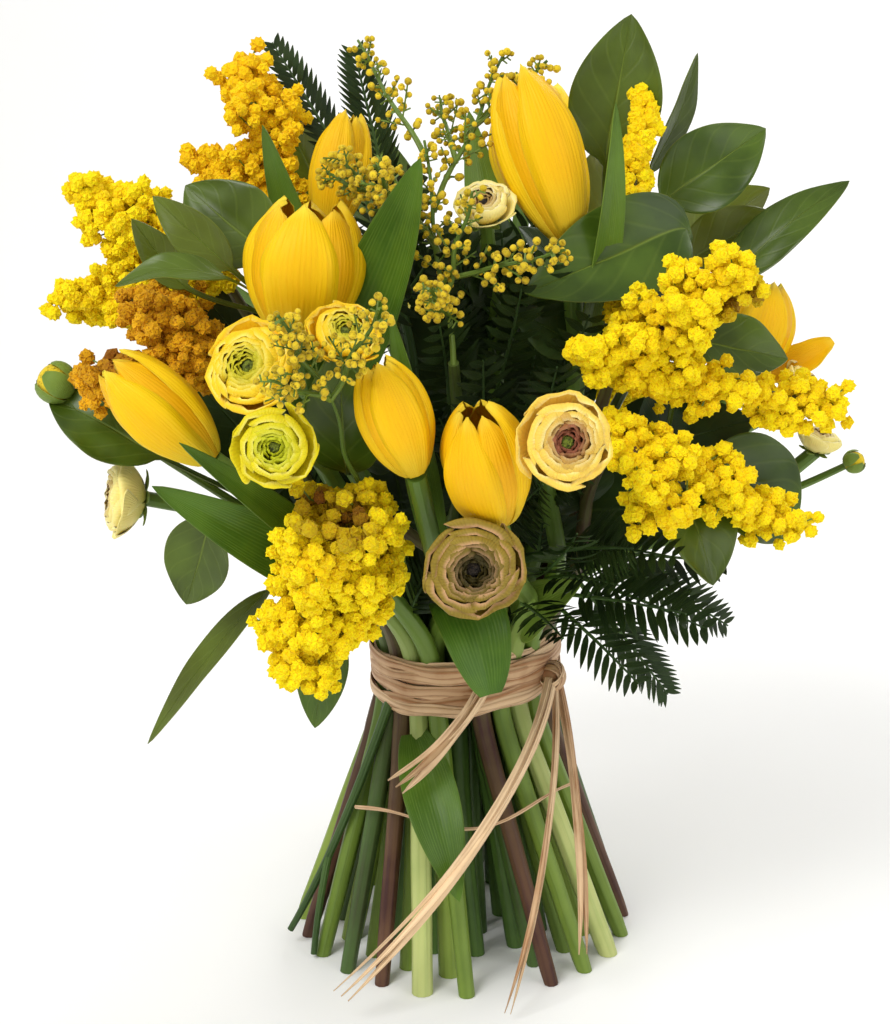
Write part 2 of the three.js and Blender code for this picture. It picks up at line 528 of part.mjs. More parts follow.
// A dense sprig. Its balls lie close together all round it, each one a rise with six sides.
function sprig(from, { to, spread }, grow) {
  const a = V(from), b = V(to);
  const length = a.distanceTo(b), axis = b.sub(a).normalize();
  const side = new THREE.Vector3(0.3, 0.5, 0.8).cross(axis).normalize();
  const across = axis.clone().cross(side);
  const around = 3 * Math.max(2, Math.round((2 * Math.PI * spread) / (5.2 * MIMOSA_BALL)));
  const rings = Math.max(3, Math.round(length / (1.2 * MIMOSA_BALL)));
  return skin(evenly(rings).map((v, i) =>
    Array.from({ length: around }, (_, j) => {
      const turn = (2 * Math.PI * (j + i / 2)) / around;
      const r = Math.max(2, spread * ((j - i + 3 * rings) % 3 === 0 ? 1 : 0.66) * plump(v)) + grow;
      return a.clone().addScaledVector(axis, v * length).addScaledVector(side, r * Math.cos(turn))
        .addScaledVector(across, r * Math.sin(turn));
    })));
}

// A twig in bud: a thin stalk that swells into a bud, now to one side and now to the other, and ends in a
// point.
const TWIG = { foot: 1.4, radius: 1.1, end: 1, bare: 0.3, sway: 1.4 };

function budTwig({ from, to, buds }, grow) {
  const a = V(from), b = V(to);
  const side = new THREE.Vector3(0.3, 0.5, 0.8).cross(b.clone().sub(a)).normalize();
  const path = route([a]), radii = [TWIG.foot];
  const knots = 2 * buds + 1;
  for (let i = 0; i < knots; i++) {
    const swollen = i % 2 === 1, sway = swollen ? (i % 4 === 1 ? TWIG.sway : -TWIG.sway) : 0;
    path.push({ at: a.clone().lerp(b, lerp(TWIG.bare, 1, i / knots)).addScaledVector(side, sway) });
    radii.push(swollen ? BUD : TWIG.radius);
  }
  return tube([...path, { at: b }], [...radii, TWIG.end], 4, undefined, grow);
}

// ---- the bunch ----------------------------------------------------------------------------------------------
// Stems are dealt round their ring in the order of the compass directions of their flowers, from the back.
const BACK = Math.PI / 2;

function dealSlots() {
  const slots = new Map();
  const rows = [...TULIPS, ...RANUNCULUS, ...MIMOSA, ...LEAFY, ...FRONDS];
  for (const ring of ["heart", "middle", "inner", "outer"]) {
    const wanted = rows.filter((row) => row.ring === ring).sort((p, q) => compass(p) - compass(q));
    const { count } = RINGS[ring];
    if (wanted.length > count) throw new Error(`${wanted.length} stems for the ${ring} ring`);
    const place = (k) => Math.floor(((k + 0.5) * count) / wanted.length);
    wanted.forEach((row, k) => slots.set(row.name, slotAt(ring, place(k))));
  }
  return slots;
}

function slotAt(ring, k) {
  const { radius, count, diameter } = RINGS[ring];
  return { azimuth: BACK + (2 * Math.PI * (k + 0.5)) / count, radius, diameter };
}

// How far round from the back of the bunch a flower stands, from 0 to a full turn.
function compass(row) {
  const [x, y] = row.base ?? row.face ?? row.end;
  return (Math.atan2(y, x) - BACK + 2 * Math.PI) % (2 * Math.PI);
}

const slots = dealSlots();
const pieces = []; // each has a name, a colour and either a bloom, or stalks and the frills that grow on them

// A stem's radius where it is cut, and at its upper end.
const GIRTHS = {
  tulip: { foot: 5.2, top: 4.2 },
  ranunculus: { foot: 4, top: 3.4 },
  mimosa: { foot: 3.6, top: 2.4 },
  leafy: { foot: 3.8, top: 2 },
  frond: { foot: 4.2, top: 1.4 },
};

function addStem(name, row, colour, end, toward, girths, frills) {
  const slot = slots.get(row.name);
  const way = layWay(slot, end, toward);
  pieces.push({ name, colour, stalks: [{ slot, way, toward, ...girths }], frills: () => frills(way, slot) });
}

// The top of a stem that carries a bloom, just under the bloom's base.
const under = (base, toward) => base.clone().addScaledVector(toward, -SEAT_GAP);

for (const row of TULIPS) {
  const base = V(row.base), toward = V(row.tip).sub(base).normalize();
  pieces.push({ name: row.name + "_bloom", colour: "tulip_petal", bloom: () => tulipBloom(row) });
  addStem(row.name + "_stem", row, "stem_green", under(base, toward), toward, GIRTHS.tulip, (way, slot) =>
    row.leaves.map((l) => {
      const from = l.under ? outside(slot, l.under) : along(way, l.on);
      return (grow) => leaf({ outline: "lance", rows: 5, ...l, from }, grow);
    }));
}

RANUNCULUS.forEach((row, i) => {
  const base = headBase(row), toward = unit(row.toward);
  pieces.push({ name: row.name + "_bloom", colour: row.colour ?? "ranunculus_petal",
    bloom: () => ranunculusBloom({ ...row, seed: 11 + i }) });
  addStem(row.name + "_stem", row, "stem_green", under(base, toward), toward, GIRTHS.ranunculus, (way) => {
    if (row.leaf) return [(grow) => leaf({ ...row.leaf, stem: along(way, row.leaf.on) }, grow)];
    if (!row.bud) return [];
    const at = V(row.bud.at);
    const stalk = route([along(way, 0.55), along(way, 0.7).lerp(at, 0.6), at]);
    return [
      (grow) => tube(stalk, [2, 1.8, 1.6], 4, undefined, grow),
      (grow) => ball(at, row.bud.radius + grow),
    ];
  });
});

for (const row of MIMOSA)
  addStem(row.name, row, row.colour, V(row.end), unit([row.end[0], row.end[1], 160]), GIRTHS.mimosa, () => [
    ...row.sprigs.map((s) => (grow) => sprig(row.end, s, grow)),
    ...(row.twigs ?? []).map((t) => (grow) => budTwig(t, grow)),
  ]);

for (const row of LEAFY) {
  const end = V(row.end);
  addStem(row.name, row, "branch_green", end, unit([end.x, end.y, 120]), GIRTHS.leafy, (way) =>
    row.leaves.map((l) => (grow) => leaf({ ...l, stem: along(way, nearestShare(way, V(l.from))) }, grow)));
}

// The share of a branch from which a leaf stalk to `foot` would grow: a little below the nearest point.
function nearestShare(way, foot) {
  const shares = evenly(20).slice(4);
  const near = shares.reduce((best, t) =>
    along(way, t).distanceTo(foot) < along(way, best).distanceTo(foot) ? t : best, 1);
  return Math.max(0.15, near - 0.12);
}

// The stems in the middle of the bunch are held together as one. Nine of them carry a frond or a cut-edged
// leaf.
const fronds = FRONDS.map((row) => {
  const slot = slots.get(row.name), toward = V(row.tip).sub(V(row.base)).normalize();
  return { row, slot, way: layWay(slot, V(row.base), toward), toward, ...GIRTHS.frond };
});
const taken = new Set(fronds.map(({ slot }) => slot.azimuth));
const short = ["centre", "heart", "middle"].flatMap((ring) =>
  Array.from({ length: RINGS[ring].count }, (_, k) => slotAt(ring, k)))
  .filter((slot) => slot.radius !== RINGS.middle.radius || !taken.has(slot.azimuth));

pieces.push({
  name: "inner_foliage",
  colour: "dark_foliage",
  stalks: [...fronds, ...short.map((slot) => ({ make: shortStalk(slot) }))],
  frills: () => fronds.map(({ row }) => (grow) =>
    leaf({ from: V(row.base).lerp(V(row.tip), -0.04), to: row.tip, width: row.width, rows: 2 * row.teeth,
      face: [0, -0.9, 0.5], outline: "cut", cup: 0.12 }, grow)),
});

function shortStalk(slot) {
  const heights = [0, WAIST.low, CORE_TOP];
  const radii = [GIRTHS.frond.foot, slot.diameter / 2, slot.diameter / 2];
  return (grow) => tube(heights.map((z) => bound(slot, z)), radii, SIDES, undefined, grow);
}

// ---- the raffia ---------------------------------------------------------------------------------------------
const bundleRadius = RINGS.outer.radius + (RINGS.outer.diameter / 2) * Math.sin((2 * Math.PI) / SIDES);

// The wound band: a ring that follows the waist of the bunch, ribbed outside by its turns, and lying a little
// askew.
function band() {
  const { height, thickness, ribs, sides, tilt } = TIE;
  const profile = [[0, 0], [1, 0]];
  for (let i = 0; i <= 2 * ribs; i++) profile.push([1 - i / (2 * ribs), i % 2 ? 1 : 0.5]);
  const n = profile.length;
  const points = [], index = [];
  const chord = 1 / Math.cos(Math.PI / sides);
  for (let k = 0; k < sides; k++) {
    const a = (2 * Math.PI * k) / sides;
    for (const [s, out] of profile) {
      const level = WAIST_Z + (s - 0.5) * height;
      const r = (bundleRadius + SEAT_GAP) * chord + out * thickness;
      points.push(new THREE.Vector3(r * Math.cos(a), r * Math.sin(a), level + tilt * r * Math.cos(a)));
    }
  }
  for (let k = 0; k < sides; k++)
    for (let i = 0; i < n; i++) {
      const a = k * n + i, b = k * n + ((i + 1) % n);
      const c = ((k + 1) % sides) * n + i, d = ((k + 1) % sides) * n + ((i + 1) % n);
      index.push(a, b, d, a, d, c);
    }
  return closed(points, index);
}

pieces.push({
  name: "raffia_tie",
  colour: "raffia",
  stalks: [{ make: band }],
  frills: () => [
    (grow) => ball(V(KNOT.at), KNOT.radius + grow),
    ...RAFFIA_ENDS.map((e) => (grow) =>
      leaf({ ...e, by: e.via, face: [0.2, -0.9, 0.3], outline: "strap", cup: 0, rows: 3 }, grow)),
  ],
});

// ---- giving way ---------------------------------------------------------------------------------------------
// Stems stand as they are. Blooms give way to the stems of others and to the blooms before them, and leaves,
// twigs and balls give way to all of these and to the leaves before them, each by the same small clearance.
const union = (list) => (list.length ? wasm.Manifold.union(list) : null);
const meets = (p, q) => p.min.every((low, i) => low <= q.max[i] && q.min[i] <= p.max[i]);

function largest(shape) {
  return shape.decompose().reduce((best, part) => (part.volume() > best.volume() ? part : best));
}

function cutClear(shape, guards) {
  const box = shape.boundingBox();
  const near = guards.filter((g) => meets(box, g.box));
  return near.length ? shape.subtract(union(near.map((g) => g.shape))) : shape;
}

const guard = (shape, owner) => ({ shape, owner, box: shape.boundingBox() });
const guards = [];
easeApart(pieces.flatMap((piece) => piece.stalks ?? []).filter(({ way }) => way));
const stemmed = pieces.filter((piece) => piece.stalks)
  .map((piece) => ({ ...piece, stalks: piece.stalks.map((s) => s.make ?? stalk(s)), frills: piece.frills() }));
for (const { name, stalks } of stemmed)
  for (const make of stalks) guards.push(guard(make(CLEAR), name));

const finished = new Map();
for (const { name, bloom } of pieces)
  if (bloom) {
    const own = name.replace("_bloom", "_stem");
    const shape = largest(cutClear(bloom(), guards.filter((g) => g.owner !== own)));
    finished.set(name, shape);
    const hull = shape.hull(), { min, max } = hull.boundingBox();
    const middle = min.map((low, i) => (low + max[i]) / 2);
    const k = 1 + (2 * CLEAR) / Math.min(...max.map((high, i) => high - min[i]));
    guards.push(guard(hull.translate(middle.map((c) => -c)).scale(k).translate(middle), name));
  }
for (const { name, stalks, frills } of stemmed) {
  const others = guards.filter((g) => g.owner !== name);
  const clear = frills.map((make) => cutClear(make(0), others));
  finished.set(name, largest(union([...stalks.map((make) => make(0)), ...clear])));
  for (const make of frills) guards.push(guard(make(CLEAR), name));
}

// ---- the scene graph ----------------------------------------------------------------------------------------
const FINEST = 0.03; // edges left by a cut that are shorter than this are drawn together

function meshOf(name, shape, colour) {
  const { vertProperties, triVerts, numProp } = largest(shape.asOriginal().simplify(FINEST)).getMesh();
  const g = new THREE.BufferGeometry();
  const count = vertProperties.length / numProp;
  const xyz = new Float32Array(3 * count);
  for (let i = 0; i < count; i++) xyz.set(vertProperties.subarray(i * numProp, i * numProp + 3), 3 * i);
  g.setAttribute("position", new THREE.BufferAttribute(xyz, 3));
  g.setIndex(new THREE.BufferAttribute(triVerts, 1));
  g.computeVertexNormals();
  const [color, roughness] = FINISHES[colour];
  const mesh = new THREE.Mesh(g, new THREE.MeshStandardMaterial({ color, roughness, metalness: 0 }));
  mesh.name = name;
  return mesh;
}

const bunch = new THREE.Group();
for (const piece of pieces) bunch.add(meshOf(piece.name, finished.get(piece.name), piece.colour));

export default bunch;
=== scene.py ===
"""The looks of a hand-tied spring bunch: tulips, ranunculus, mimosa, leafy branches and a raffia tie.

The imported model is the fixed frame. Its rows of flowers, leaves and sprigs are repeated here in millimetres, and each
node is replaced by finer pieces of the same form. Every shape is a surface worked out with numpy on a grid.
"""
import logging
from dataclasses import dataclass, field, replace
from enum import Enum
from functools import partial, reduce
from typing import Callable, Iterable, Optional, Sequence

import bpy
import numpy as np
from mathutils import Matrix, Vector


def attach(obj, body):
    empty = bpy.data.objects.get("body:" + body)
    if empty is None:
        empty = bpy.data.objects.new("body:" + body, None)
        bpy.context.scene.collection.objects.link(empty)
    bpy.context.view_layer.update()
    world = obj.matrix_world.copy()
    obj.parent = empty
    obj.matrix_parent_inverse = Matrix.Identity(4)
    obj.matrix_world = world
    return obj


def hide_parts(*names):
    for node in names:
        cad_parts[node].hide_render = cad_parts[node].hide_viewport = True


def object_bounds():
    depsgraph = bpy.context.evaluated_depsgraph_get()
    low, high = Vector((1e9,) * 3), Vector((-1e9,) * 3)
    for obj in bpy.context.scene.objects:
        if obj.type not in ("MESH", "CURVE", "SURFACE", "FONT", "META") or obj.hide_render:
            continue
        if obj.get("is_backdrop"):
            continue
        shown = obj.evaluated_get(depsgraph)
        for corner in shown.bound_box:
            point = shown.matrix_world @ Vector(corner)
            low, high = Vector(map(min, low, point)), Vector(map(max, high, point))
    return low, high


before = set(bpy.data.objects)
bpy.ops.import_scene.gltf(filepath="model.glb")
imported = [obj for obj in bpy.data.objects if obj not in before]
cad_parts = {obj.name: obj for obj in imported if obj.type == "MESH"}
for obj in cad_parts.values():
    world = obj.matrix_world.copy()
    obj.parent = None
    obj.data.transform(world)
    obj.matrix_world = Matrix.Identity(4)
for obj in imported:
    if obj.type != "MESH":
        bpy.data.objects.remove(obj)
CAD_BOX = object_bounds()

LOG = logging.getLogger("bunch")
MM = 0.001
TURN = 2 * np.pi
GOLDEN_TURN = np.pi * (3 - np.sqrt(5))  # turns that never line up, for even spacing round an axis

Array = np.ndarray
Number = float | Array
Point = tuple[float, float, float]
Colour = tuple[int, int, int]
Material = bpy.types.Material
Finishes = tuple[Material, ...]

# ---- driving dimensions, in millimetres ----
WAIST_LOW, WAIST_HIGH = 119.0, 155.0  # the stems are held straight together between these heights
WAIST_Z = (WAIST_LOW + WAIST_HIGH) / 2
FOOT_SPREAD = 2.1  # how much wider the stems stand on the floor than at the waist
TWIST = 0.4  # radians that the spiral turns between the floor and the waist
SEAT_GAP = 0.3  # between the top of a stem and its bloom
BACK = np.pi / 2  # the compass direction from which stems are dealt round their rings
LEAN = 0.35  # how far an outer stem leans out as it leaves the raffia
HANDLE_START, HANDLE_END = 0.3, 0.36  # how stiffly a way keeps its two directions
HEAD_DEPTH, FLATTENING = 0.97, 0.88  # a ranunculus head's depth and how much it is pressed flat, in radii
FULL_BLOOM = 22.0  # a tulip with a larger radius closes less at its tip
NARROW_SPRIG = 10.0  # a mimosa sprig up to this spread has tight clumps
DENSE = (-0.12, -0.7)  # a sprig's outer and inner layer are bare where a ripple falls below these values
CUT_RIM = 0.6  # the mark on the rim of a cut end, whose middle has mark 1


class Ring(Enum):
    """The rings in which the stems stand: radius at the waist, number of stems and their diameter."""

    CENTRE = (0.0, 1, 13.6)
    HEART = (8.6, 5, 12.4)
    MIDDLE = (18.8, 12, 11.2)
    INNER = (28.4, 18, 9.9)
    OUTER = (37.5, 24, 9.4)


class Tone(Enum):
    """The colours of the ranunculus."""

    BUTTER, LIME, BLUSH, BRONZE, CREAM = range(5)


class Fluff(Enum):
    """The colours of the mimosa, and its stage in bud."""

    LEMON, GOLD, OCHRE, BUD = range(4)


class Outline(Enum):
    """The outlines that a leaf can have."""

    LANCE, OVAL, BLUNT = range(3)


@dataclass(frozen=True)
class Leaf:
    """A leaf from foot to tip, wide across and bulging towards a direction.

    A tulip leaf has no foot of its own: it grows `on` a share of its stem, or `under` the raffia at a height.
    """

    tip: Point
    width: float
    face: Point
    arch: float = 0.0
    cup: float = 0.22
    foot: Optional[Point] = None
    on: Optional[float] = None
    under: Optional[float] = None


@dataclass(frozen=True)
class Tulip:
    """A tulip: the base and tip of its bloom, the bloom's radius and the turn of its petals."""

    name: str
    base: Point
    tip: Point
    radius: float
    ring: Ring
    turn: float
    leaves: tuple[Leaf, ...] = ()
    fallen: Optional[Leaf] = None


@dataclass(frozen=True)
class Ranunculus:
    """A ranunculus: the middle of its face, the way it looks, and a side bud or a leaf if it has one."""

    name: str
    face: Point
    toward: Point
    radius: float
    ring: Ring
    tone: Tone = Tone.BUTTER
    bud: Optional[tuple[Point, float]] = None
    leaf: Optional[Leaf] = None


@dataclass(frozen=True)
class Sprig:
    """A dense mimosa sprig from the branch's end to a point, `spread` wide on each side."""

    to: Point
    spread: float


@dataclass(frozen=True)
class Twig:
    """A thin mimosa twig with buds strung along it."""

    start: Point
    to: Point
    buds: int


@dataclass(frozen=True)
class Mimosa:
    """A mimosa branch with its sprigs and twigs."""

    name: str
    ring: Ring
    tone: Fluff
    end: Point
    sprigs: tuple[Sprig, ...] = ()
    twigs: tuple[Twig, ...] = ()


@dataclass(frozen=True)
class Branch:
    """A leafy branch: where it ends and its leaves."""

    name: str
    ring: Ring
    end: Point
    leaves: tuple[Leaf, ...]


@dataclass(frozen=True)
class Frond:
    """A feathery frond or cut-edged leaf from base to tip."""

    name: str
    base: Point
    tip: Point
    width: float
    ring: Ring = Ring.MIDDLE


TULIPS = (
    Tulip("tulip_1", (-70, -84, 305), (-65, -84, 366), 25, Ring.INNER, 0.5,
          (Leaf((-19, -112, 385), 30, (-0.3, -1, 0.1), -0.06, on=0.75),)),
    Tulip("tulip_2", (-60, -40, 345), (-50, -32, 396), 13.5, Ring.INNER, 0.2,
          (Leaf((-86, -50, 392), 17, (-0.2, -1, 0), 0.05, on=0.75),)),
    Tulip("tulip_3", (42, -72, 347), (19, -60, 416), 19, Ring.INNER, 0.9,
          (Leaf((59, -84, 404), 15, (0.6, -0.8, 0), 0.06, on=0.72),)),
    Tulip("tulip_4", (-105, -105, 262), (-146, -110, 303), 17, Ring.OUTER, 0.3,
          (Leaf((-130, -108, 251), 27, (-0.2, -0.9, 0.4), 0.08, on=0.25),
           Leaf((-114, -138, 277), 15, (0.5, -0.9, 0.2), 0.05, on=0.3),
           Leaf((-3, -84, 50), 25, (0.1, -1, 0.15), 0.08, under=112))),
    Tulip("tulip_5", (-21, -138, 264), (-37, -138, 310), 15, Ring.INNER, 0.75,
          (Leaf((-31, -118, 325), 14, (0, -1, 0), 0.05, on=0.6),
           Leaf((10, -97, 155), 32, (0.1, -0.75, 0.7), 0.38, on=0.2))),
    Tulip("tulip_6", (12, -128, 241), (1, -146, 294), 19, Ring.OUTER, 0.05,
          (Leaf((50, -74, 198), 24, (0.1, -0.8, 0.6), 0.12, on=0.12),)),
    Tulip("tulip_7", (124, -8, 272), (139, 2, 318), 18, Ring.INNER, 0.6,
          fallen=Leaf((167, -7, 291), 18, (0.3, 0, 1), -0.12, 0.35, foot=(131, -9, 273))),
    Tulip("tulip_8", (-88, 84, 308), (-112, 104, 358), 21, Ring.OUTER, 0.4,
          (Leaf((-132, 84, 246), 26, (-0.7, 0.5, 0.5), 0.12, on=0.4),
           Leaf((-156, 54, 322), 26, (-0.4, 0.3, 0.8), 0.1, on=0.6))),
    Tulip("tulip_9", (28, 62, 345), (36, 84, 402), 22, Ring.INNER, 0.1,
          (Leaf((2, 92, 386), 22, (0, 1, 0.2), 0.05, on=0.7),)),
)

RANUNCULUS = (
    Ranunculus("ranunculus_1", (-88, -138, 309), (-0.35, -0.8, 0.45), 18.5, Ring.INNER, Tone.BUTTER),
    Ranunculus("ranunculus_2", (-48, -130, 322), (0.2, -0.65, 0.75), 14, Ring.INNER, Tone.BUTTER,
               leaf=Leaf((-50, -136, 317), 32, (-0.1, -0.95, 0.3), 0.06, foot=(-50, -110, 258), on=0.6)),
    Ranunculus("ranunculus_3", (-76, -152, 278), (-0.1, -0.97, 0.05), 15.5, Ring.OUTER, Tone.LIME),
    Ranunculus("ranunculus_4", (38, -160, 283), (0.15, -0.93, 0.3), 17.5, Ring.OUTER, Tone.BLUSH),
    Ranunculus("ranunculus_5", (2, -155, 229), (0.08, -0.99, 0.02), 19.5, Ring.OUTER, Tone.BRONZE),
    Ranunculus("ranunculus_6", (-157, -62, 234), (-0.95, -0.25, 0.15), 17, Ring.OUTER, Tone.CREAM,
               bud=((-178, -52, 282), 9)),
    Ranunculus("ranunculus_7", (160, -12, 272), (0.75, -0.25, 0.6), 15, Ring.OUTER, Tone.CREAM),
    Ranunculus("ranunculus_8", (157, -42, 258), (0.25, -0.1, 1), 10, Ring.OUTER, Tone.CREAM,
               bud=((172, -42, 244), 5)),
    Ranunculus("ranunculus_9", (6, -82, 366), (-0.1, -0.6, 0.8), 12, Ring.INNER, Tone.CREAM),
    Ranunculus("ranunculus_10", (-50, 134, 286), (-0.3, 0.9, 0.25), 22, Ring.OUTER, Tone.LIME),
    Ranunculus("ranunculus_11", (58, 132, 292), (0.35, 0.9, 0.25), 23, Ring.OUTER, Tone.BUTTER),
)

MIMOSAS = (
    Mimosa("mimosa_1", Ring.OUTER, Fluff.LEMON, (-40, -112, 246),
           (Sprig((-62, -140, 224), 24), Sprig((-74, -108, 170), 24)),
           (Twig((-42, -113, 242), (-54, -142, 296), 0), Twig((-54, -142, 295), (-72, -162, 332), 5),
            Twig((-54, -142, 295), (-34, -170, 336), 5), Twig((-54, -142, 295), (-75, -170, 309), 3))),
    Mimosa("mimosa_2", Ring.INNER, Fluff.LEMON, (60, -94, 298),
           (Sprig((106, -114, 342), 20), Sprig((151, -86, 281), 13), Sprig((76, -30, 404), 10),
            Sprig((45, -122, 312), 9))),
    Mimosa("mimosa_3", Ring.OUTER, Fluff.LEMON, (62, -104, 276),
           (Sprig((84, -124, 241), 16), Sprig((140, -80, 225), 14))),
    Mimosa("mimosa_4", Ring.OUTER, Fluff.LEMON, (-108, -22, 324),
           (Sprig((-169, -18, 361), 15), Sprig((-176, -24, 313), 14))),
    Mimosa("mimosa_5", Ring.OUTER, Fluff.OCHRE, (-101, -64, 294),
           (Sprig((-142, -72, 323), 15), Sprig((-161, -74, 287), 13))),
    Mimosa("mimosa_6", Ring.INNER, Fluff.GOLD, (-82, -14, 346),
           (Sprig((-97, 2, 413), 18), Sprig((-118, -4, 374), 11))),
    Mimosa("mimosa_7", Ring.OUTER, Fluff.LEMON, (-60, 88, 232),
           (Sprig((-116, 120, 222), 19), Sprig((-36, 128, 212), 16))),
    Mimosa("mimosa_8", Ring.OUTER, Fluff.LEMON, (76, 76, 250),
           (Sprig((126, 106, 288), 18), Sprig((114, 114, 222), 17))),
    Mimosa("mimosa_9", Ring.INNER, Fluff.BUD, (-6, -96, 300), (),
           (Twig((-6, -96, 299), (-18, -74, 388), 7), Twig((-14, -81, 360), (16, -34, 421), 6),
            Twig((-10, -88, 333), (38, -112, 349), 5), Twig((-8, -92, 317), (-16, -132, 337), 5),
            Twig((-12, -84, 347), (-56, -84, 384), 6), Twig((-17, -75, 380), (-46, -40, 426), 4))),
)

LEAFY = (
    Branch("leafy_branch_1", Ring.INNER, (70, -22, 352), (
        Leaf((70, -22, 436), 40, (-0.1, -1, 0.2), 0.04, foot=(60, -26, 374)),
        Leaf((131, -12, 387), 36, (0.1, -1, 0.3), 0.08, foot=(86, -20, 356)),
        Leaf((103, 12, 418), 17, (0.8, -0.6, 0), 0.06, foot=(82, 2, 366)))),
    Branch("leafy_branch_2", Ring.OUTER, (88, -30, 306), (
        Leaf((23, -92, 328), 42, (0, -0.9, 0.4), 0.06, foot=(92, -64, 350)),
        Leaf((171, -2, 363), 24, (-0.3, -0.8, 0.5), 0.08, foot=(114, -12, 318)),
        Leaf((140, 12, 347), 30, (0, -0.9, 0.4), 0.05, foot=(101, 4, 325)))),
    Branch("leafy_branch_3", Ring.OUTER, (94, -62, 262), (
        Leaf((139, -50, 292), 30, (0.1, -0.8, 0.6), 0.08, foot=(98, -52, 298)),
        Leaf((143, -58, 214), 46, (0.4, -0.8, 0.3), 0.1, foot=(106, -68, 254)),
        Leaf((104, -96, 204), 38, (0.5, -0.8, 0.2), 0.1, foot=(88, -76, 244)))),
    Branch("leafy_branch_4", Ring.INNER, (-86, -66, 330), (
        Leaf((-119, -52, 367), 38, (-0.1, -0.9, 0.4), 0.06, foot=(-84, -64, 338)),
        Leaf((-130, -72, 365), 19, (-0.3, -0.8, 0.4), 0.06, foot=(-98, -78, 336)),
        Leaf((-141, -60, 354), 17, (0.3, -0.9, 0.2), -0.06, foot=(-118, -66, 326)),
        Leaf((-144, -92, 331), 17, (0, -0.5, 0.9), 0.16, foot=(-99, -90, 334)))),
    Branch("leafy_branch_5", Ring.OUTER, (-104, -62, 240), (
        Leaf((-182, -52, 276), 34, (0.1, -0.8, 0.6), 0.06, foot=(-132, -70, 254)),
        Leaf((-124, -62, 184), 31, (-0.2, -0.9, 0.3), 0.05, foot=(-110, -68, 224)),
        Leaf((-147, -42, 109), 14, (-0.5, -0.7, 0.5), 0.05, foot=(-88, -48, 186)),
        Leaf((-68, -64, 126), 24, (-0.2, -0.9, 0.2), 0.05, foot=(-60, -58, 172)))),
    Branch("leafy_branch_6", Ring.OUTER, (-34, 74, 298), (
        Leaf((-88, 46, 396), 36, (-0.5, 0.6, 0.5), 0.06, foot=(-60, 52, 336)),
        Leaf((-8, 126, 216), 40, (0, 0.9, 0.3), 0.1, foot=(-20, 84, 270)),
        Leaf((-48, 112, 378), 40, (-0.2, 0.9, 0.3), 0.05, foot=(-36, 80, 330)))),
    Branch("leafy_branch_7", Ring.INNER, (96, 54, 308), (
        Leaf((146, 62, 352), 36, (0.5, 0.6, 0.5), 0.06, foot=(100, 54, 318)),
        Leaf((150, 66, 254), 40, (0.7, 0.5, 0.4), 0.1, foot=(104, 60, 280)),
        Leaf((82, 112, 376), 38, (0.2, 0.8, 0.4), 0.05, foot=(66, 84, 330)),
        Leaf((54, 128, 190), 36, (0.3, 0.9, 0.2), 0.1, foot=(44, 104, 240)))),
)

FRONDS = (
    Frond("frond_1", (-44, 2, 352), (-87, 20, 422), 15),
    Frond("frond_2", (-34, 8, 348), (-50, 12, 419), 19),
    Frond("frond_3", (60, -58, 206), (119, -42, 167), 20),
    Frond("frond_4", (50, -54, 192), (92, -48, 136), 18),
    Frond("frond_5", (-30, 70, 215), (-62, 114, 180), 20),
    Frond("frond_6", (16, -88, 228), (30, -124, 256), 26),
    Frond("frond_7", (42, -84, 216), (68, -114, 226), 32),
    Frond("frond_8", (0, -26, 236), (2, -42, 326), 26),
    Frond("frond_9", (22, -40, 236), (30, -62, 306), 24),
)

# sprays that hang over the raffia on the right, each from its base to its tip
LOW_SPRAYS = (((36, -62, 196), (62, -120, 212)), ((44, -66, 190), (92, -104, 194)), ((50, -60, 196), (104, -84, 180)),
              ((40, -64, 184), (74, -92, 158)), ((30, -70, 200), (44, -126, 236)), ((44, -70, 214), (86, -114, 222)),
              ((24, -72, 188), (40, -112, 186)), ((56, -50, 204), (112, -70, 206)))

# broad dark leaves behind the middle, each with its foot and its tip
BACKING = (((-4, 8, 236), (-8, 26, 342)), ((20, 4, 240), (16, 30, 346)), ((38, 2, 236), (48, 26, 340)),
           ((-20, -12, 176), (-42, -22, 276)), ((0, -20, 170), (0, -34, 262)), ((-44, -6, 180), (-86, -16, 258)),
           ((28, -14, 176), (40, -22, 262)), ((-62, -2, 236), (-124, -12, 322)), ((-70, -8, 212), (-128, -28, 286)),
           ((60, -30, 240), (126, -52, 266)), ((40, -26, 216), (98, -52, 226)))

# sprays in front of the bare stems in the middle of the crown
MIDDLE_SPRAYS = (((4, -60, 240), (6, -100, 302)), ((10, -50, 270), (22, -94, 332)), ((26, -60, 250), (36, -104, 300)),
                 ((-8, -60, 262), (-12, -100, 318)), ((14, -40, 290), (14, -70, 350)), ((34, -40, 262), (50, -86, 318)),
                 ((-4, -56, 230), (24, -112, 272)), ((18, -56, 300), (32, -90, 344)),
                 ((0, -50, 300), (-6, -84, 352)), ((30, -66, 236), (52, -104, 262)))


# ---- vectors ----
def vec(point: Sequence[float]) -> Array:
    """A point or direction as an array."""
    return np.array(point, float)


def unit(a: Array) -> Array:
    """Each vector of an array at length one."""
    return a / np.maximum(np.linalg.norm(a, axis=-1, keepdims=True), 1e-9)


def lerp(a: Number, b: Number, t: Number) -> Number:
    """The value a share t of the way from a to b."""
    return a + (b - a) * t


def polar(turn: Number, r: Number, z: Number) -> Array:
    """The points at some turns round the upright axis, distances from it and heights."""
    return np.stack(np.broadcast_arrays(r * np.cos(turn), r * np.sin(turn), z), -1)


def across_shares(columns: int) -> Array:
    """Places across an item from -1 to 1, as one row, closer together towards its rims."""
    return np.sin(np.pi / 2 * np.linspace(-1, 1, columns))[None]


def square_to(direction: Array, reference: Array) -> Array:
    """The part of a reference direction that lies square to a direction, at length one."""
    d = unit(direction)
    return unit(reference - d * np.sum(reference * d, axis=-1, keepdims=True))


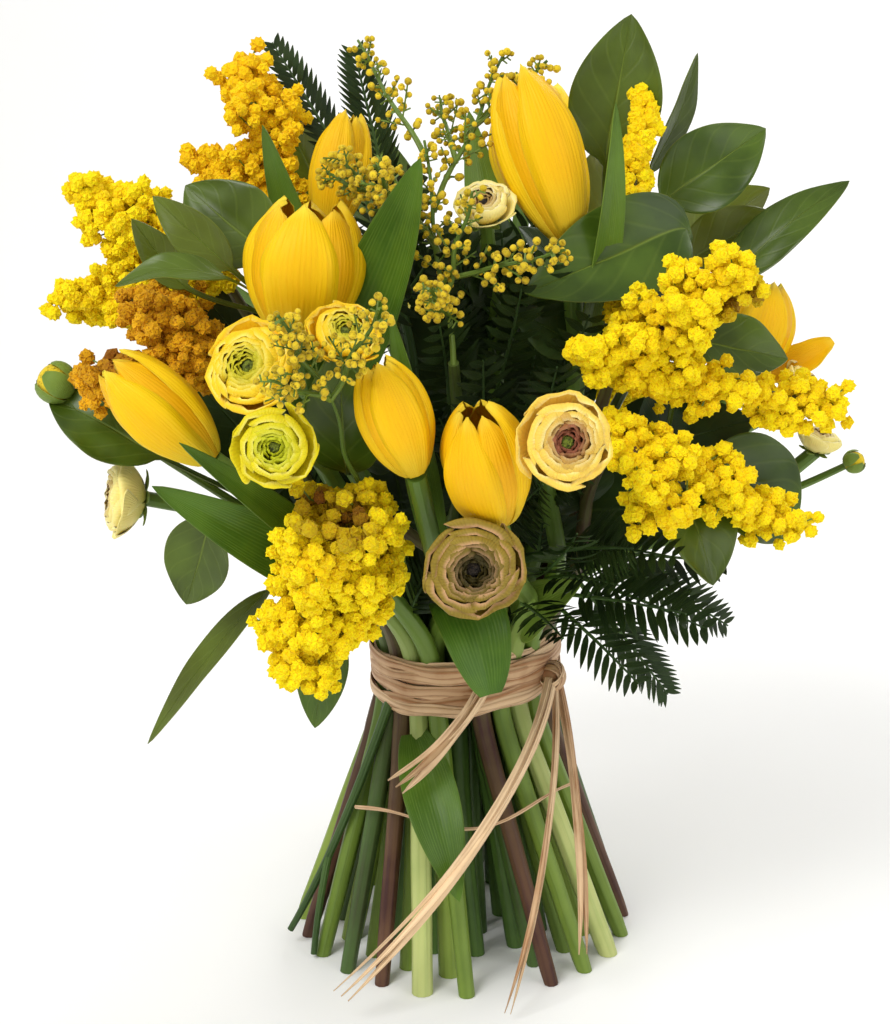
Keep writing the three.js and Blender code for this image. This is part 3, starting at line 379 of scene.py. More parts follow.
def ripple(x: Array, y: Array, seed: float) -> Array:
    """A smooth uneven surface from -1 to 1: four waves of unlike lengths and directions, added.

    Args:
        x: The first coordinate, in radians of the slowest wave.
        y: The second coordinate.
        seed: Any number; it shifts the waves.

    Returns:
        The height at each point.
    """
    waves = (np.sin(x + 1.7 * seed) + np.sin(1.9 * y - 2.3 * seed + 0.6 * x) + np.sin(2.7 * x + 1.3 * y + seed)
             + np.sin(-1.6 * x + 3.1 * y + 4.1 * seed))
    return waves / 4


# ---- patches and pieces ----
def put(name: str, data: bpy.types.ID) -> bpy.types.Object:
    """Puts a mesh, a light or a camera into the scene.

    Args:
        name: The object's name.
        data: What it shows.

    Returns:
        The object.
    """
    made = bpy.data.objects.new(name, data)
    bpy.context.scene.collection.objects.link(made)
    return made


@dataclass
class Patch:
    """A closed surface: points, faces of four or three corners, their UVs, and two values for each point.

    `tint` shifts the colour of one item against the next, and `mark` says where a finish changes, such as a cut end.
    """

    points: Array
    faces: tuple[Array, ...]
    uvs: tuple[Array, ...]
    tint: Array
    mark: Array
    finish: int = 0

    def moved(self, turn: Array, shift: Array) -> "Patch":
        """This patch with its points turned by a matrix and shifted."""
        return replace(self, points=self.points @ turn.T + shift)


Patches = Iterable[Patch]


def lattice(rows: int, columns: int) -> tuple[Array, Array]:
    """The quads of a grid of rows by columns points, and their corners' places in it from 0 to 1.

    Args:
        rows: The number of points along.
        columns: The number of points across.

    Returns:
        The corner numbers and the UVs (across, along) of each quad.
    """
    i, j = np.meshgrid(np.arange(rows - 1), np.arange(columns - 1), indexing="ij")
    i, j = i.ravel(), j.ravel()
    row = np.stack([i, i, i + 1, i + 1], 1)
    column = np.stack([j, j + 1, j + 1, j], 1)
    uv = np.stack([column / (columns - 1), row / (rows - 1)], 2)
    return row * columns + column, uv


def shell(grid: Array, thickness: float, tint: float = 0.5, finish: int = 0) -> Patch:
    """A thin closed leaf over a grid of points: both faces meet along the rim, so that the rim is rounded.

    A point of the upper face is the grid point moved along the surface's normal by half the thickness; on the rim it
    isn't moved, and both faces share it.

    Args:
        grid: Points, rows by columns by 3.
        thickness: The thickness in the middle.
        tint: The item's own shade from 0 to 1.
        finish: The number of its finish in the piece.

    Returns:
        The closed patch.
    """
    rows, columns = grid.shape[:2]
    across = np.gradient(grid, axis=1)
    along = np.gradient(grid, axis=0)
    normal = unit(np.cross(across, along))
    inner = np.zeros((rows, columns, 1))
    inner[1:-1, 1:-1] = thickness / 2
    top = (grid + normal * inner).reshape(-1, 3)
    bottom = (grid - normal * inner)[1:-1, 1:-1].reshape(-1, 3)
    under = np.arange(rows * columns).reshape(rows, columns)
    under[1:-1, 1:-1] = rows * columns + np.arange(len(bottom)).reshape(rows - 2, columns - 2)
    quads, uv = lattice(rows, columns)
    faces = np.concatenate([quads, under.ravel()[quads][:, ::-1]])
    uvs = np.concatenate([uv, uv[:, ::-1]])
    points = np.concatenate([top, bottom])
    size = len(points)
    rim = np.ones((rows, columns))
    rim[1:-1, 1:-1] = 0
    mark = np.concatenate([rim.ravel(), np.zeros(len(bottom))])
    return Patch(points, (faces,), (uvs,), np.full(size, tint), mark, finish)


def tube(path: Array, radius: Array, side: Array, sides: int = 10, tint: float = 0.5, finish: int = 0,
         swell: Optional[Array] = None, flat: float = 1.0) -> Patch:
    """A closed tube along a path: round sections square to the path, with flat ends.

    A point is the path's point, plus the side direction times radius times the cosine of its turn, plus the other
    direction across times radius times its sine.

    Args:
        path: The middle line, stations by 3.
        radius: The radius at each station.
        side: A direction, or one for each station, from which the turns are counted.
        sides: The number of points round a section.
        tint: The item's own shade from 0 to 1.
        finish: The number of its finish in the piece.
        swell: How much the radius is scaled at each station and turn, if it isn't round.
        flat: How thick the section is across, against its width along `side`.

    Returns:
        The closed patch, with mark 1 on its first end and 0 elsewhere.
    """
    stations = len(path)
    way = unit(np.gradient(path, axis=0))
    along = square_to(way, np.broadcast_to(side, way.shape))
    across = np.cross(way, along)
    turn = TURN * np.arange(sides) / sides
    reach = np.broadcast_to(radius, (stations,))[:, None] * (1 if swell is None else swell)
    reach = np.broadcast_to(reach, (stations, sides))
    ring = (path[:, None] + along[:, None] * (reach * np.cos(turn))[..., None]
            + across[:, None] * (flat * reach * np.sin(turn))[..., None])
    points = np.concatenate([ring.reshape(-1, 3), path[[0, -1]]])
    quads, uv = lattice(stations, sides + 1)
    row, column = quads // (sides + 1), quads % (sides + 1)
    quads = row * sides + column % sides
    first, last = stations * sides, stations * sides + 1
    k = np.arange(sides)
    after = (k + 1) % sides
    far = first - sides
    caps = np.concatenate([np.stack([np.full(sides, first), after, k], 1),
                           np.stack([np.full(sides, last), far + k, far + after], 1)])
    cap_uv = np.zeros((2 * sides, 3, 2))
    cap_uv[sides:, :, 1] = 1
    mark = np.zeros(len(points))
    mark[:sides] = CUT_RIM
    mark[first] = 1
    return Patch(points, (quads, caps), (uv, cap_uv), np.full(len(points), tint), mark, finish)


def round_ball(level: int) -> tuple[Array, Array]:
    """A unit ball of triangles: an icosahedron whose edges are halved `level` times.

    Args:
        level: How often the edges are halved.

    Returns:
        The points and the faces.
    """
    g = (1 + 5 ** 0.5) / 2
    corners = np.array([(-1, g, 0), (1, g, 0), (-1, -g, 0), (1, -g, 0), (0, -1, g), (0, 1, g), (0, -1, -g), (0, 1, -g),
                        (g, 0, -1), (g, 0, 1), (-g, 0, -1), (-g, 0, 1)], float)
    faces = np.array([(0, 11, 5), (0, 5, 1), (0, 1, 7), (0, 7, 10), (0, 10, 11), (1, 5, 9), (5, 11, 4), (11, 10, 2),
                      (10, 7, 6), (7, 1, 8), (3, 9, 4), (3, 4, 2), (3, 2, 6), (3, 6, 8), (3, 8, 9), (4, 9, 5),
                      (2, 4, 11), (6, 2, 10), (8, 6, 7), (9, 8, 1)])
    points = unit(corners)
    for _ in range(level):
        edges = np.sort(np.concatenate([faces[:, [0, 1]], faces[:, [1, 2]], faces[:, [2, 0]]]), axis=1)
        pairs, number = np.unique(edges, axis=0, return_inverse=True)
        ab, bc, ca = np.split(len(points) + number.ravel(), 3)
        points = np.concatenate([points, unit(points[pairs].mean(axis=1))])
        a, b, c = faces.T
        faces = np.concatenate([np.stack(f, 1) for f in ((a, ab, ca), (ab, b, bc), (ca, bc, c), (ab, bc, ca))])
    return points, faces


def star_ball(level: float = 0.9, spike: float = 1.07) -> tuple[Array, Array]:
    """A ball of spikes, one on each face of an icosahedron.

    Args:
        level: How far from the middle the spikes start, in radii.
        spike: How far out they end.

    Returns:
        The points and the faces.
    """
    points, faces = round_ball(0)
    tips = spike * unit(points[faces].mean(axis=1))
    top = len(points) + np.arange(len(faces))
    a, b, c = faces.T
    return (np.concatenate([level * points, tips]),
            np.concatenate([np.stack(side, 1) for side in ((a, b, top), (b, c, top), (c, a, top))]))


def balls(centres: Array, radii: Array, rng: np.random.Generator, shape: tuple[Array, Array], rough: float,
          tint: Array, mark: float = 0.0, finish: int = 0) -> Patch:
    """Many balls as one patch: each is a unit ball turned at random, with an uneven surface, scaled and placed.

    Args:
        centres: The middle of each ball.
        radii: The radius of each ball.
        rng: The stream of draws.
        shape: The points and faces of the unit ball.
        rough: How uneven the surface is, in radii.
        tint: The shade of each ball.
        mark: The mark of all their points.
        finish: The number of their finish in the piece.

    Returns:
        The patch.
    """
    points, faces = shape
    count, size = len(centres), len(points)
    frames, _ = np.linalg.qr(rng.normal(size=(count, 3, 3)))
    frames *= np.sign(np.linalg.det(frames))[:, None, None]
    uneven = 1 + rough * rng.uniform(-1, 1, (count, size, 1))
    placed = centres[:, None] + radii[:, None, None] * uneven * np.einsum("nij,kj->nki", frames, points)
    all_faces = (faces[None] + size * np.arange(count)[:, None, None]).reshape(-1, 3)
    uv = np.repeat(np.linspace(0, 1, count), len(faces))[:, None, None] * np.ones((1, 3, 2))
    return Patch(placed.reshape(-1, 3), (all_faces,), (uv,), np.repeat(tint, size), np.full(count * size, mark), finish)


@dataclass
class Piece:
    """One object of the scene: its patches, finishes, and the nodes that it stands for."""

    name: str
    finishes: Finishes
    slot: str
    nodes: tuple[str, ...]
    patches: list[Patch]
    sharp: float = 60.0

    def corners(self) -> tuple[Array, Array, Array, Array]:
        """Puts the faces of all patches in one order.

        Returns:
            The faces' corner numbers and UVs, and each face's size and finish.
        """
        numbers, uvs, sizes, finishes = [], [], [], []
        shift = 0
        for patch in self.patches:
            for faces, uv in zip(patch.faces, patch.uvs):
                numbers.append((faces + shift).ravel())
                uvs.append(uv.reshape(-1, 2))
                sizes.append(np.full(len(faces), faces.shape[1]))
                finishes.append(np.full(len(faces), patch.finish))
            shift += len(patch.points)
        return tuple(np.concatenate(part) for part in (numbers, uvs, sizes, finishes))

    def make(self) -> bpy.types.Object:
        """Builds the mesh in metres, dresses it and declares what it rides on and replaces.

        Returns:
            The finished object.
        """
        mesh = bpy.data.meshes.new(self.name)
        points = np.concatenate([patch.points for patch in self.patches]) * MM
        numbers, uvs, sizes, finishes = self.corners()
        mesh.vertices.add(len(points))
        mesh.vertices.foreach_set("co", points.astype(np.float32).ravel())
        mesh.loops.add(len(numbers))
        mesh.loops.foreach_set("vertex_index", numbers.astype(np.int32))
        mesh.polygons.add(len(sizes))
        starts = np.concatenate([[0], np.cumsum(sizes)[:-1]])
        mesh.polygons.foreach_set("loop_start", starts.astype(np.int32))
        mesh.polygons.foreach_set("material_index", finishes.astype(np.int32))
        mesh.uv_layers.new(name="shape").data.foreach_set("uv", uvs.astype(np.float32).ravel())
        for name in ("tint", "mark"):
            values = np.concatenate([getattr(patch, name) for patch in self.patches])
            mesh.attributes.new(name, "FLOAT", "POINT").data.foreach_set("value", values.astype(np.float32))
        mesh.polygons.foreach_set("use_smooth", np.ones(len(sizes), bool))
        mesh.update(calc_edges=True)
        mesh.validate()
        mesh.set_sharp_from_angle(angle=np.radians(self.sharp))
        for finish in self.finishes:
            mesh.materials.append(finish)
        piece = put(self.name, mesh)
        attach(piece, "root")
        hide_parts(*self.nodes)
        LOG.info("%s: %d triangles", self.name, int(np.sum(sizes - 2)))
        return piece


class Maker:
    """Something that is made as one piece, from the patches that its class works out."""

    rng: np.random.Generator

    def draw(self, low: float, high: float, size: int | tuple[int, ...] | None = None) -> Number:
        """Uneven measures between two values, from the piece's own stream of draws."""
        return self.rng.uniform(low, high, size)

    def patches(self) -> Patches:
        """Its patches, in their places."""
        raise NotImplementedError

    def make(self, name: str, finishes: Finishes, slot: str, node: str) -> bpy.types.Object:
        """Builds the piece.

        Args:
            name: Its name.
            finishes: Its finishes, in the order of their numbers.
            slot: Not used; it is stored on the piece, and nothing reads it.
            node: The node that it replaces.

        Returns:
            The finished object.
        """
        return Piece(name, finishes, slot, (node,), list(self.patches())).make()


# ---- stems ----
SEAM = np.array([1, 0.2, 0.1])  # the side from which the turns round a stem are counted


@dataclass(frozen=True)
class Slot:
    """A stem's place in the bundle: its compass direction at the waist, its distance out and its diameter."""

    azimuth: float
    radius: float
    diameter: float

    def at(self, z: float, out: float = 0.0) -> Array:
        """The stem's middle at a height, or a point further from the bundle's middle.

        The direction turns with the height by the spiral, and the distance grows below the waist.

        Args:
            z: The height.
            out: How much further out.

        Returns:
            The point.
        """
        turn = self.azimuth + TWIST * (1 - z / WAIST_Z)
        r = (self.radius + out) * (1 + (FOOT_SPREAD - 1) * max(0.0, (WAIST_LOW - z) / WAIST_LOW))
        return polar(turn, r, z)


def slot_at(ring: Ring, k: int) -> Slot:
    """The k-th slot of a ring."""
    radius, count, diameter = ring.value
    return Slot(BACK + TURN * (k + 0.5) / count, radius, diameter)


class Kind(Enum):
    """The kinds of stem: the radius where it is cut, and at its upper end."""

    TULIP = (5.2, 4.2)
    RANUNCULUS = (4.0, 3.4)
    MIMOSA = (3.6, 2.4)
    LEAFY = (3.8, 2.0)
    FROND = (4.2, 1.4)


@dataclass
class Stem:
    """A stem on its way from the floor through the bundle to its upper end."""

    slot: Slot
    kind: Kind
    end: Array
    toward: Array
    way: Array = field(default_factory=lambda: np.zeros((4, 3)))

    def __post_init__(self) -> None:
        """Lays the free part of the way: a cubic curve from the waist to the end, sampled at thirds."""
        start = self.slot.at(WAIST_HIGH)
        lean = unit(np.array([*(start[:2] * LEAN / Ring.OUTER.value[0]), 1.0]))
        reach = np.linalg.norm(start - self.end)
        knots = (start, start + lean * reach * HANDLE_START, self.end - self.toward * reach * HANDLE_END, self.end)
        t = np.array([0, 1 / 3, 2 / 3, 1])[:, None]
        shares = ((1 - t) ** 3, 3 * t * (1 - t) ** 2, 3 * t ** 2 * (1 - t), t ** 3)
        self.way = sum(share * knot for share, knot in zip(shares, knots))

    def along(self, t: float) -> Array:
        """The point a share t of the way along the free part."""
        i = min(int(t * 3), 2)
        return lerp(self.way[i], self.way[i + 1], t * 3 - i)

    def girth(self, t: Array) -> Array:
        """The radius at shares of the free part: it thins from the waist to the top."""
        return lerp(self.slot.diameter / 2, self.kind.value[1], np.minimum(1, 1.2 * t))

    def line(self, stations: int = 46) -> tuple[Array, Array]:
        """The stem's middle line and radius, with its corners rounded.

        The corner points are joined by straight runs, sampled evenly, and each sample is averaged with its
        neighbours again and again, with both ends and the foot held.

        Args:
            stations: The number of samples.

        Returns:
            The middle line and the radius at each station.
        """
        bound = [self.slot.at(z) for z in (0.0, WAIST_LOW, WAIST_HIGH)]
        corners = np.concatenate([bound, self.way[1:]])
        waist = self.slot.diameter / 2
        radii = np.array([self.kind.value[0], waist, waist, *self.girth(np.array([1 / 3, 2 / 3, 1]))])
        distance = np.concatenate([[0], np.cumsum(np.linalg.norm(np.diff(corners, axis=0), axis=1))])
        s = np.linspace(0, distance[-1], stations)
        line = np.stack([np.interp(s, distance, corners[:, k]) for k in range(3)], 1)
        radius = np.interp(s, distance, radii)
        for _ in range(5):
            line[2:-1] = (line[1:-2] + 2 * line[2:-1] + line[3:]) / 4
            radius[1:-1] = (radius[:-2] + 2 * radius[1:-1] + radius[2:]) / 4
        return line, radius


@dataclass
class Bundle:
    """All stems: they are dealt round their rings by the compass directions of their flowers, and eased apart."""

    rounds: int = 120
    samples: int = 25
    space: float = 1.6
    step: float = 0.25
    stems: dict[str, Stem] = field(default_factory=dict)

    def deal(self) -> dict[str, Slot]:
        """Gives each row its slot.

        Within a ring the rows are sorted by how far round from the back they stand, and spread evenly over the
        ring's slots in that order.

        Returns:
            The slot of each row, by name.
        """
        rows = [*((row.name, row.ring, row.base) for row in TULIPS),
                *((row.name, row.ring, row.face) for row in RANUNCULUS),
                *((row.name, row.ring, row.end) for row in MIMOSAS),
                *((row.name, row.ring, row.end) for row in LEAFY),
                *((row.name, row.ring, row.base) for row in FRONDS)]
        slots = {}
        for ring in (Ring.MIDDLE, Ring.INNER, Ring.OUTER):
            wanted = sorted((row for row in rows if row[1] is ring),
                            key=lambda row: (np.arctan2(row[2][1], row[2][0]) - BACK + TURN) % TURN)
            count = ring.value[1]
            for k, (name, _, _) in enumerate(wanted):
                slots[name] = slot_at(ring, int((k + 0.5) * count / len(wanted)))
        return slots

    def lay(self) -> None:
        """Makes every stem that carries something and eases them apart."""
        slots = self.deal()
        for row in TULIPS:
            toward = unit(vec(row.tip) - vec(row.base))
            self.stems[row.name] = Stem(slots[row.name], Kind.TULIP, vec(row.base) - toward * SEAT_GAP, toward)
        for row in RANUNCULUS:
            toward = unit(vec(row.toward))
            base = vec(row.face) - toward * row.radius * HEAD_DEPTH
            self.stems[row.name] = Stem(slots[row.name], Kind.RANUNCULUS, base - toward * SEAT_GAP, toward)
        for row in MIMOSAS:
            self.stems[row.name] = Stem(slots[row.name], Kind.MIMOSA, vec(row.end), unit(vec((*row.end[:2], 160))))
        for row in LEAFY:
            self.stems[row.name] = Stem(slots[row.name], Kind.LEAFY, vec(row.end), unit(vec((*row.end[:2], 120))))
        for row in FRONDS:
            toward = unit(vec(row.tip) - vec(row.base))
            self.stems[row.name] = Stem(slots[row.name], Kind.FROND, vec(row.base), toward)
        self.ease()

    def ease(self) -> None:
        """Moves the free points of stems that come too near each other.

        In each round, marks along every pair of ways that are nearer than both radii and the space between push the
        points on either side of them apart, each by its share, by a part of what is missing.
        """
        stems = list(self.stems.values())
        t = np.linspace(0, 1, self.samples)[1:]
        i = np.minimum((3 * t).astype(int), 2)
        part = 3 * t - i
        marks_from_way = np.zeros((len(t), 4))
        marks_from_way[np.arange(len(t)), i] = 1 - part
        marks_from_way[np.arange(len(t)), i + 1] = part
        held = marks_from_way.copy()
        held[:, [0, 3]] = 0
        ways = np.array([stem.way for stem in stems])
        girths = np.array([stem.girth(t) for stem in stems])
        p, q = np.triu_indices(len(stems), 1)
        room = girths[p][:, :, None] + girths[q][:, None, :] + self.space
        for _ in range(self.rounds):
            marks = np.einsum("tk,skc->stc", marks_from_way, ways)
            away = marks[p][:, :, None] - marks[q][:, None, :]
            gap = np.linalg.norm(away, axis=-1)
            pair, a, b = np.nonzero(gap < room)
            missing = (room[pair, a, b] - gap[pair, a, b]) * self.step / np.maximum(gap[pair, a, b], 1e-9)
            push = away[pair, a, b] * missing[:, None]
            np.add.at(ways, p[pair], held[a][:, :, None] * push[:, None])
            np.add.at(ways, q[pair], -held[b][:, :, None] * push[:, None])
        for stem, way in zip(stems, ways):
            stem.way = way


# ---- finishes ----
Socket = bpy.types.NodeSocket
Value = float | Sequence[float] | Socket


def paint(colour: Colour) -> tuple[float, float, float, float]:
    """A colour as the screen shows it, from 0 to 255, as the linear colour that a shader takes."""
    share = np.array(colour) / 255
    return (*np.where(share <= 0.04045, share / 12.92, ((share + 0.055) / 1.055) ** 2.4).tolist(), 1.0)


@dataclass
class Graph:
    """A node tree that is being wired."""

    tree: bpy.types.NodeTree

    def add(self, kind: str, inputs: Optional[dict[str | int, Value]] = None, **settings: object) -> bpy.types.Node:
        """Adds a node.

        Args:
            kind: The node's type.
            inputs: Its inputs by name or number: a socket is linked, and anything else is set.
            **settings: Its own properties.

        Returns:
            The node.
        """
        node = self.tree.nodes.new(kind)
        for name, setting in settings.items():
            setattr(node, name, setting)
        for name, value in (inputs or {}).items():
            if isinstance(value, bpy.types.NodeSocket):
                self.tree.links.new(value, node.inputs[name])
            else:
                node.inputs[name].default_value = value
        return node

    def maths(self, operation: str, a: Value, b: Value = 0.0) -> Socket:
        """The result of a sum on one or two values."""
        return self.add("ShaderNodeMath", {0: a, 1: b}, operation=operation).outputs[0]

    def product(self, *factors: Value) -> Socket:
        """The product of several values."""
        return reduce(partial(self.maths, "MULTIPLY"), factors)

    def ramp(self, value: Value, low: float, high: float, to_low: float = 0.0, to_high: float = 1.0) -> Socket:
        """A value eased from one range to another, and held outside it."""
        return self.add("ShaderNodeMapRange", {"Value": value, "From Min": low, "From Max": high, "To Min": to_low,
                                               "To Max": to_high}, interpolation_type="SMOOTHSTEP").outputs["Result"]

    def blend(self, share: Value, a: Value, b: Value) -> Socket:
        """The colour a share of the way from a to b, by the mix node's sockets for colours."""
        return self.add("ShaderNodeMix", {0: share, 6: a, 7: b}, data_type="RGBA").outputs[2]

    def layers(self, base: Value, *coats: tuple[Value, Colour]) -> Value:
        """A colour with coats of paint over it, each with the share by which it covers."""
        return reduce(lambda below, coat: self.blend(coat[0], below, paint(coat[1])), coats, base)

    def lines(self, count: float, drift: float = 3.0) -> Socket:
        """Fine lines along the item, from the shared group."""
        return self.add("ShaderNodeGroup", {"Count": count, "Drift": drift}, node_tree=GROUPS.lines).outputs[0]

    def attribute(self, name: str) -> Socket:
        """A value that the mesh carries."""
        return self.add("ShaderNodeAttribute", attribute_name=name).outputs["Fac"]

    def place(self) -> tuple[Socket, Socket]:
        """How far across and how far along its item a point lies, both from 0 to 1."""
        parts = self.add("ShaderNodeSeparateXYZ", {0: self.add("ShaderNodeUVMap", uv_map="shape").outputs["UV"]})
        return parts.outputs["X"], parts.outputs["Y"]

    def noise(self, scale: float, detail: float = 3.0, point: Optional[Socket] = None) -> Socket:
        """Uneven patches from 0 to 1 in the object's own space, or in a given one."""
        point = point or self.add("ShaderNodeTexCoord").outputs["Object"]
        return self.add("ShaderNodeTexNoise", {"Vector": point, "Scale": scale, "Detail": detail}).outputs["Fac"]

    def off_middle(self, across: Socket) -> Socket:
        """How far a point lies from the middle line of its item: 0 on it and 1 on the rim."""
        return self.maths("ABSOLUTE", self.maths("MULTIPLY", self.maths("SUBTRACT", across, 0.5), 2.0))


def new_group(name: str, inputs: dict[str, float], outputs: Sequence[str],
              wire: Callable[[Graph, dict[str, Socket]], Sequence[Socket]]) -> bpy.types.ShaderNodeTree:
    """Makes a node group.

    Args:
        name: The group's name.
        inputs: Its input values and their defaults.
        outputs: The names of its output values.
        wire: Wires the inside, from the inputs to the outputs.

    Returns:
        The group.
    """
    tree = bpy.data.node_groups.new(name, "ShaderNodeTree")
    for label, default in inputs.items():
        tree.interface.new_socket(label, in_out="INPUT", socket_type="NodeSocketFloat").default_value = default
    for label in outputs:
        tree.interface.new_socket(label, in_out="OUTPUT", socket_type="NodeSocketFloat")
    graph = Graph(tree)
    entry = graph.add("NodeGroupInput")
    made = wire(graph, {label: entry.outputs[label] for label in inputs})
    graph.add("NodeGroupOutput", dict(zip(outputs, made)))
    return tree


def wire_lines(graph: Graph, given: dict[str, Socket]) -> Sequence[Socket]:
    """Fine lines along an item: a wave across it, bent by slow noise and broken by fast noise.

    Args:
        graph: The group's tree.
        given: The number of lines across, and how far they drift.

    Returns:
        The lines, from 0 to 1.
    """
    across, along = graph.place()
    stretched = graph.add("ShaderNodeCombineXYZ", {0: graph.product(across, given["Count"]),
                                                   1: graph.product(along, 3.0)})
    drift = graph.noise(0.35, 2.0, stretched.outputs[0])
    phase = graph.maths("ADD", graph.product(across, given["Count"], TURN), graph.product(drift, given["Drift"]))
    wave = graph.ramp(graph.maths("SINE", phase), -1.0, 1.0)
    broken = graph.noise(1.7, 2.0, stretched.outputs[0])
    return (graph.product(wave, graph.ramp(broken, 0.25, 0.7)),)


def wire_ribs(graph: Graph, given: dict[str, Socket]) -> Sequence[Socket]:
    """A leaf's middle rib, and side ribs that leave it in pairs and curve towards the tip.

    Args:
        graph: The group's tree.
        given: The number of pairs, and how far they slant.

    Returns:
        The middle rib and the side ribs, each from 0 to 1.
    """
    across, along = graph.place()
    off = graph.off_middle(across)
    thin = graph.ramp(along, 0.0, 1.0, 0.05, 0.012)
    middle = graph.maths("SUBTRACT", 1.0, graph.maths("SMOOTH_MIN", graph.maths("DIVIDE", off, thin), 1.0))
    bend = graph.product(graph.maths("POWER", off, 0.8), given["Slant"])
    phase = graph.product(graph.maths("SUBTRACT", along, bend), given["Pairs"])
    to_rib = graph.maths("ABSOLUTE", graph.maths("SUBTRACT", graph.maths("FRACT", phase), 0.5))
    side = graph.product(graph.ramp(to_rib, 0.0, 0.13, 1.0, 0.0), graph.ramp(off, 0.8, 1.0, 1.0, 0.15))
    return middle, side


class Groups:
    """The node groups that several finishes share."""

    def __init__(self) -> None:
        """Makes the groups."""
        self.lines = new_group("fine lines", {"Count": 20.0, "Drift": 3.0}, ["Lines"], wire_lines)
        self.ribs = new_group("leaf ribs", {"Pairs": 8.0, "Slant": 0.3}, ["Middle", "Side"], wire_ribs)


GROUPS: Groups


def shader(graph: Graph, colour: Value, rough: Value, height: Optional[Socket] = None, distance: float = 0.0003,
           **constants: Value) -> None:
    """Ends a material with its shader.

    Args:
        graph: The material's tree.
        colour: The base colour.
        rough: The roughness.
        height: A height for the bump, if there is one.
        distance: How deep the bump is, in metres.
        **constants: The shader's other inputs, with underscores for spaces.
    """
    inputs: dict[str | int, Value] = {"Base Color": colour, "Roughness": rough}
    inputs.update({name.replace("_", " "): value for name, value in constants.items()})
    if height is not None:
        inputs["Normal"] = graph.add("ShaderNodeBump", {"Height": height, "Distance": distance,
                                                        "Strength": 0.8}).outputs["Normal"]
    made = graph.add("ShaderNodeBsdfPrincipled", inputs)
    graph.add("ShaderNodeOutputMaterial", {"Surface": made.outputs[0]})


def new_material(name: str) -> tuple[Material, Graph]:
    """Starts a material.

    Args:
        name: Its name.

    Returns:
        The material and its tree, which is still empty.
    """
    material = bpy.data.materials.new(name)
    material.use_nodes = True
    material.node_tree.nodes.clear()
    return material, Graph(material.node_tree)


@dataclass(frozen=True)
class PetalFinish:
    """Petals: a foot, a body and a rim, a deeper tone along the middle that is partly painted shade, and fine veins."""

    name: str
    foot: Colour
    body: Colour
    rim: Colour
    flush_and_shade: Colour
    heart: Colour
    flush_and_shade_share: float = 0.5
    veins: float = 0.3
    count: float = 26.0
    rough: float = 0.5
    bump: float = 0.00016

    def make(self) -> Material:
        """Builds the material.

        From foot to rim the colour runs along the petal. A deeper tone lies on the middle line, most of all halfway up,
        and on the veins; it is partly the petal's own colour and partly painted shade. The mesh's tint turns a petal
        towards the colour of the flower's heart.

        Returns:
            The material.
        """
        material, graph = new_material(self.name)
        across, along = graph.place()
        off = graph.off_middle(across)
        lines, patches = graph.lines(self.count), graph.noise(55.0)
        middle = graph.product(graph.ramp(off, 0.0, 0.75, 1.0, 0.0), graph.ramp(along, 0.05, 0.4),
                               graph.ramp(along, 0.55, 1.0, 1.0, 0.35))
        # painted shade, partly the petal's own deeper tone: laid along the middle line and on the veins
        flush_and_shade_mask = graph.product(graph.maths("ADD", middle, graph.product(patches, 0.25)), self.flush_and_shade_share)
        to_rim = graph.maths("MAXIMUM", graph.ramp(off, 0.75, 1.0), graph.ramp(along, 0.88, 1.0))
        colour = graph.layers(paint(self.foot), (graph.ramp(along, 0.02, 0.34), self.body), (flush_and_shade_mask, self.flush_and_shade),
                              (graph.product(lines, self.veins), self.flush_and_shade), (graph.product(to_rim, 0.85), self.rim),
                              (graph.attribute("tint"), self.heart))
        shader(graph, colour, graph.ramp(patches, 0.2, 0.8, self.rough - 0.06, self.rough + 0.08), lines, self.bump,
               Subsurface_Weight=0.12, Subsurface_Radius=(0.006, 0.004, 0.001), Specular_IOR_Level=0.2)
        return material


class Veins(Enum):
    """How a leaf is veined, and how deep that makes its bump, in metres."""

    PARALLEL = 0.00035
    NETTED = 0.0006


@dataclass(frozen=True)
class LeafFinish:
    """Leaves: ribs and a margin on a glossy or a matt face."""

    name: str
    body: Colour
    dark: Colour
    rib: Colour
    margin: Colour
    veins: Veins = Veins.NETTED
    rough: float = 0.36
    coat: float = 0.15
    pairs: float = 8.0
    slant: float = 0.3
    lines: float = 24.0

    def make(self) -> Material:
        """Builds the material: parallel veins for a tulip's leaf, or a middle rib with side ribs in pairs.

        Returns:
            The material.
        """
        material, graph = new_material(self.name)
        off = graph.off_middle(graph.place()[0])
        patches = graph.noise(38.0, 4.0)
        if self.veins is Veins.PARALLEL:
            ribs = graph.product(graph.lines(self.lines), 0.34)
        else:
            group = graph.add("ShaderNodeGroup", {"Pairs": self.pairs, "Slant": self.slant}, node_tree=GROUPS.ribs)
            ribs = graph.maths("MAXIMUM", group.outputs["Middle"], graph.product(group.outputs["Side"], 0.13))
        colour = graph.layers(paint(self.dark), (graph.ramp(patches, 0.3, 0.7), self.body),
                              (graph.product(graph.attribute("tint"), 0.7), self.margin),
                              (graph.product(ribs, 0.75), self.rib),
                              (graph.product(graph.ramp(off, 0.9, 1.0), 0.6), self.margin))
        height = graph.maths("SUBTRACT", graph.product(patches, 0.4), ribs)
        shader(graph, colour, graph.ramp(patches, 0.2, 0.8, self.rough - 0.07, self.rough + 0.1), height,
               self.veins.value, Coat_Weight=self.coat, Coat_Roughness=0.25, Specular_IOR_Level=0.25,
               Subsurface_Weight=0.05, Subsurface_Radius=(0.002, 0.003, 0.001))
        return material


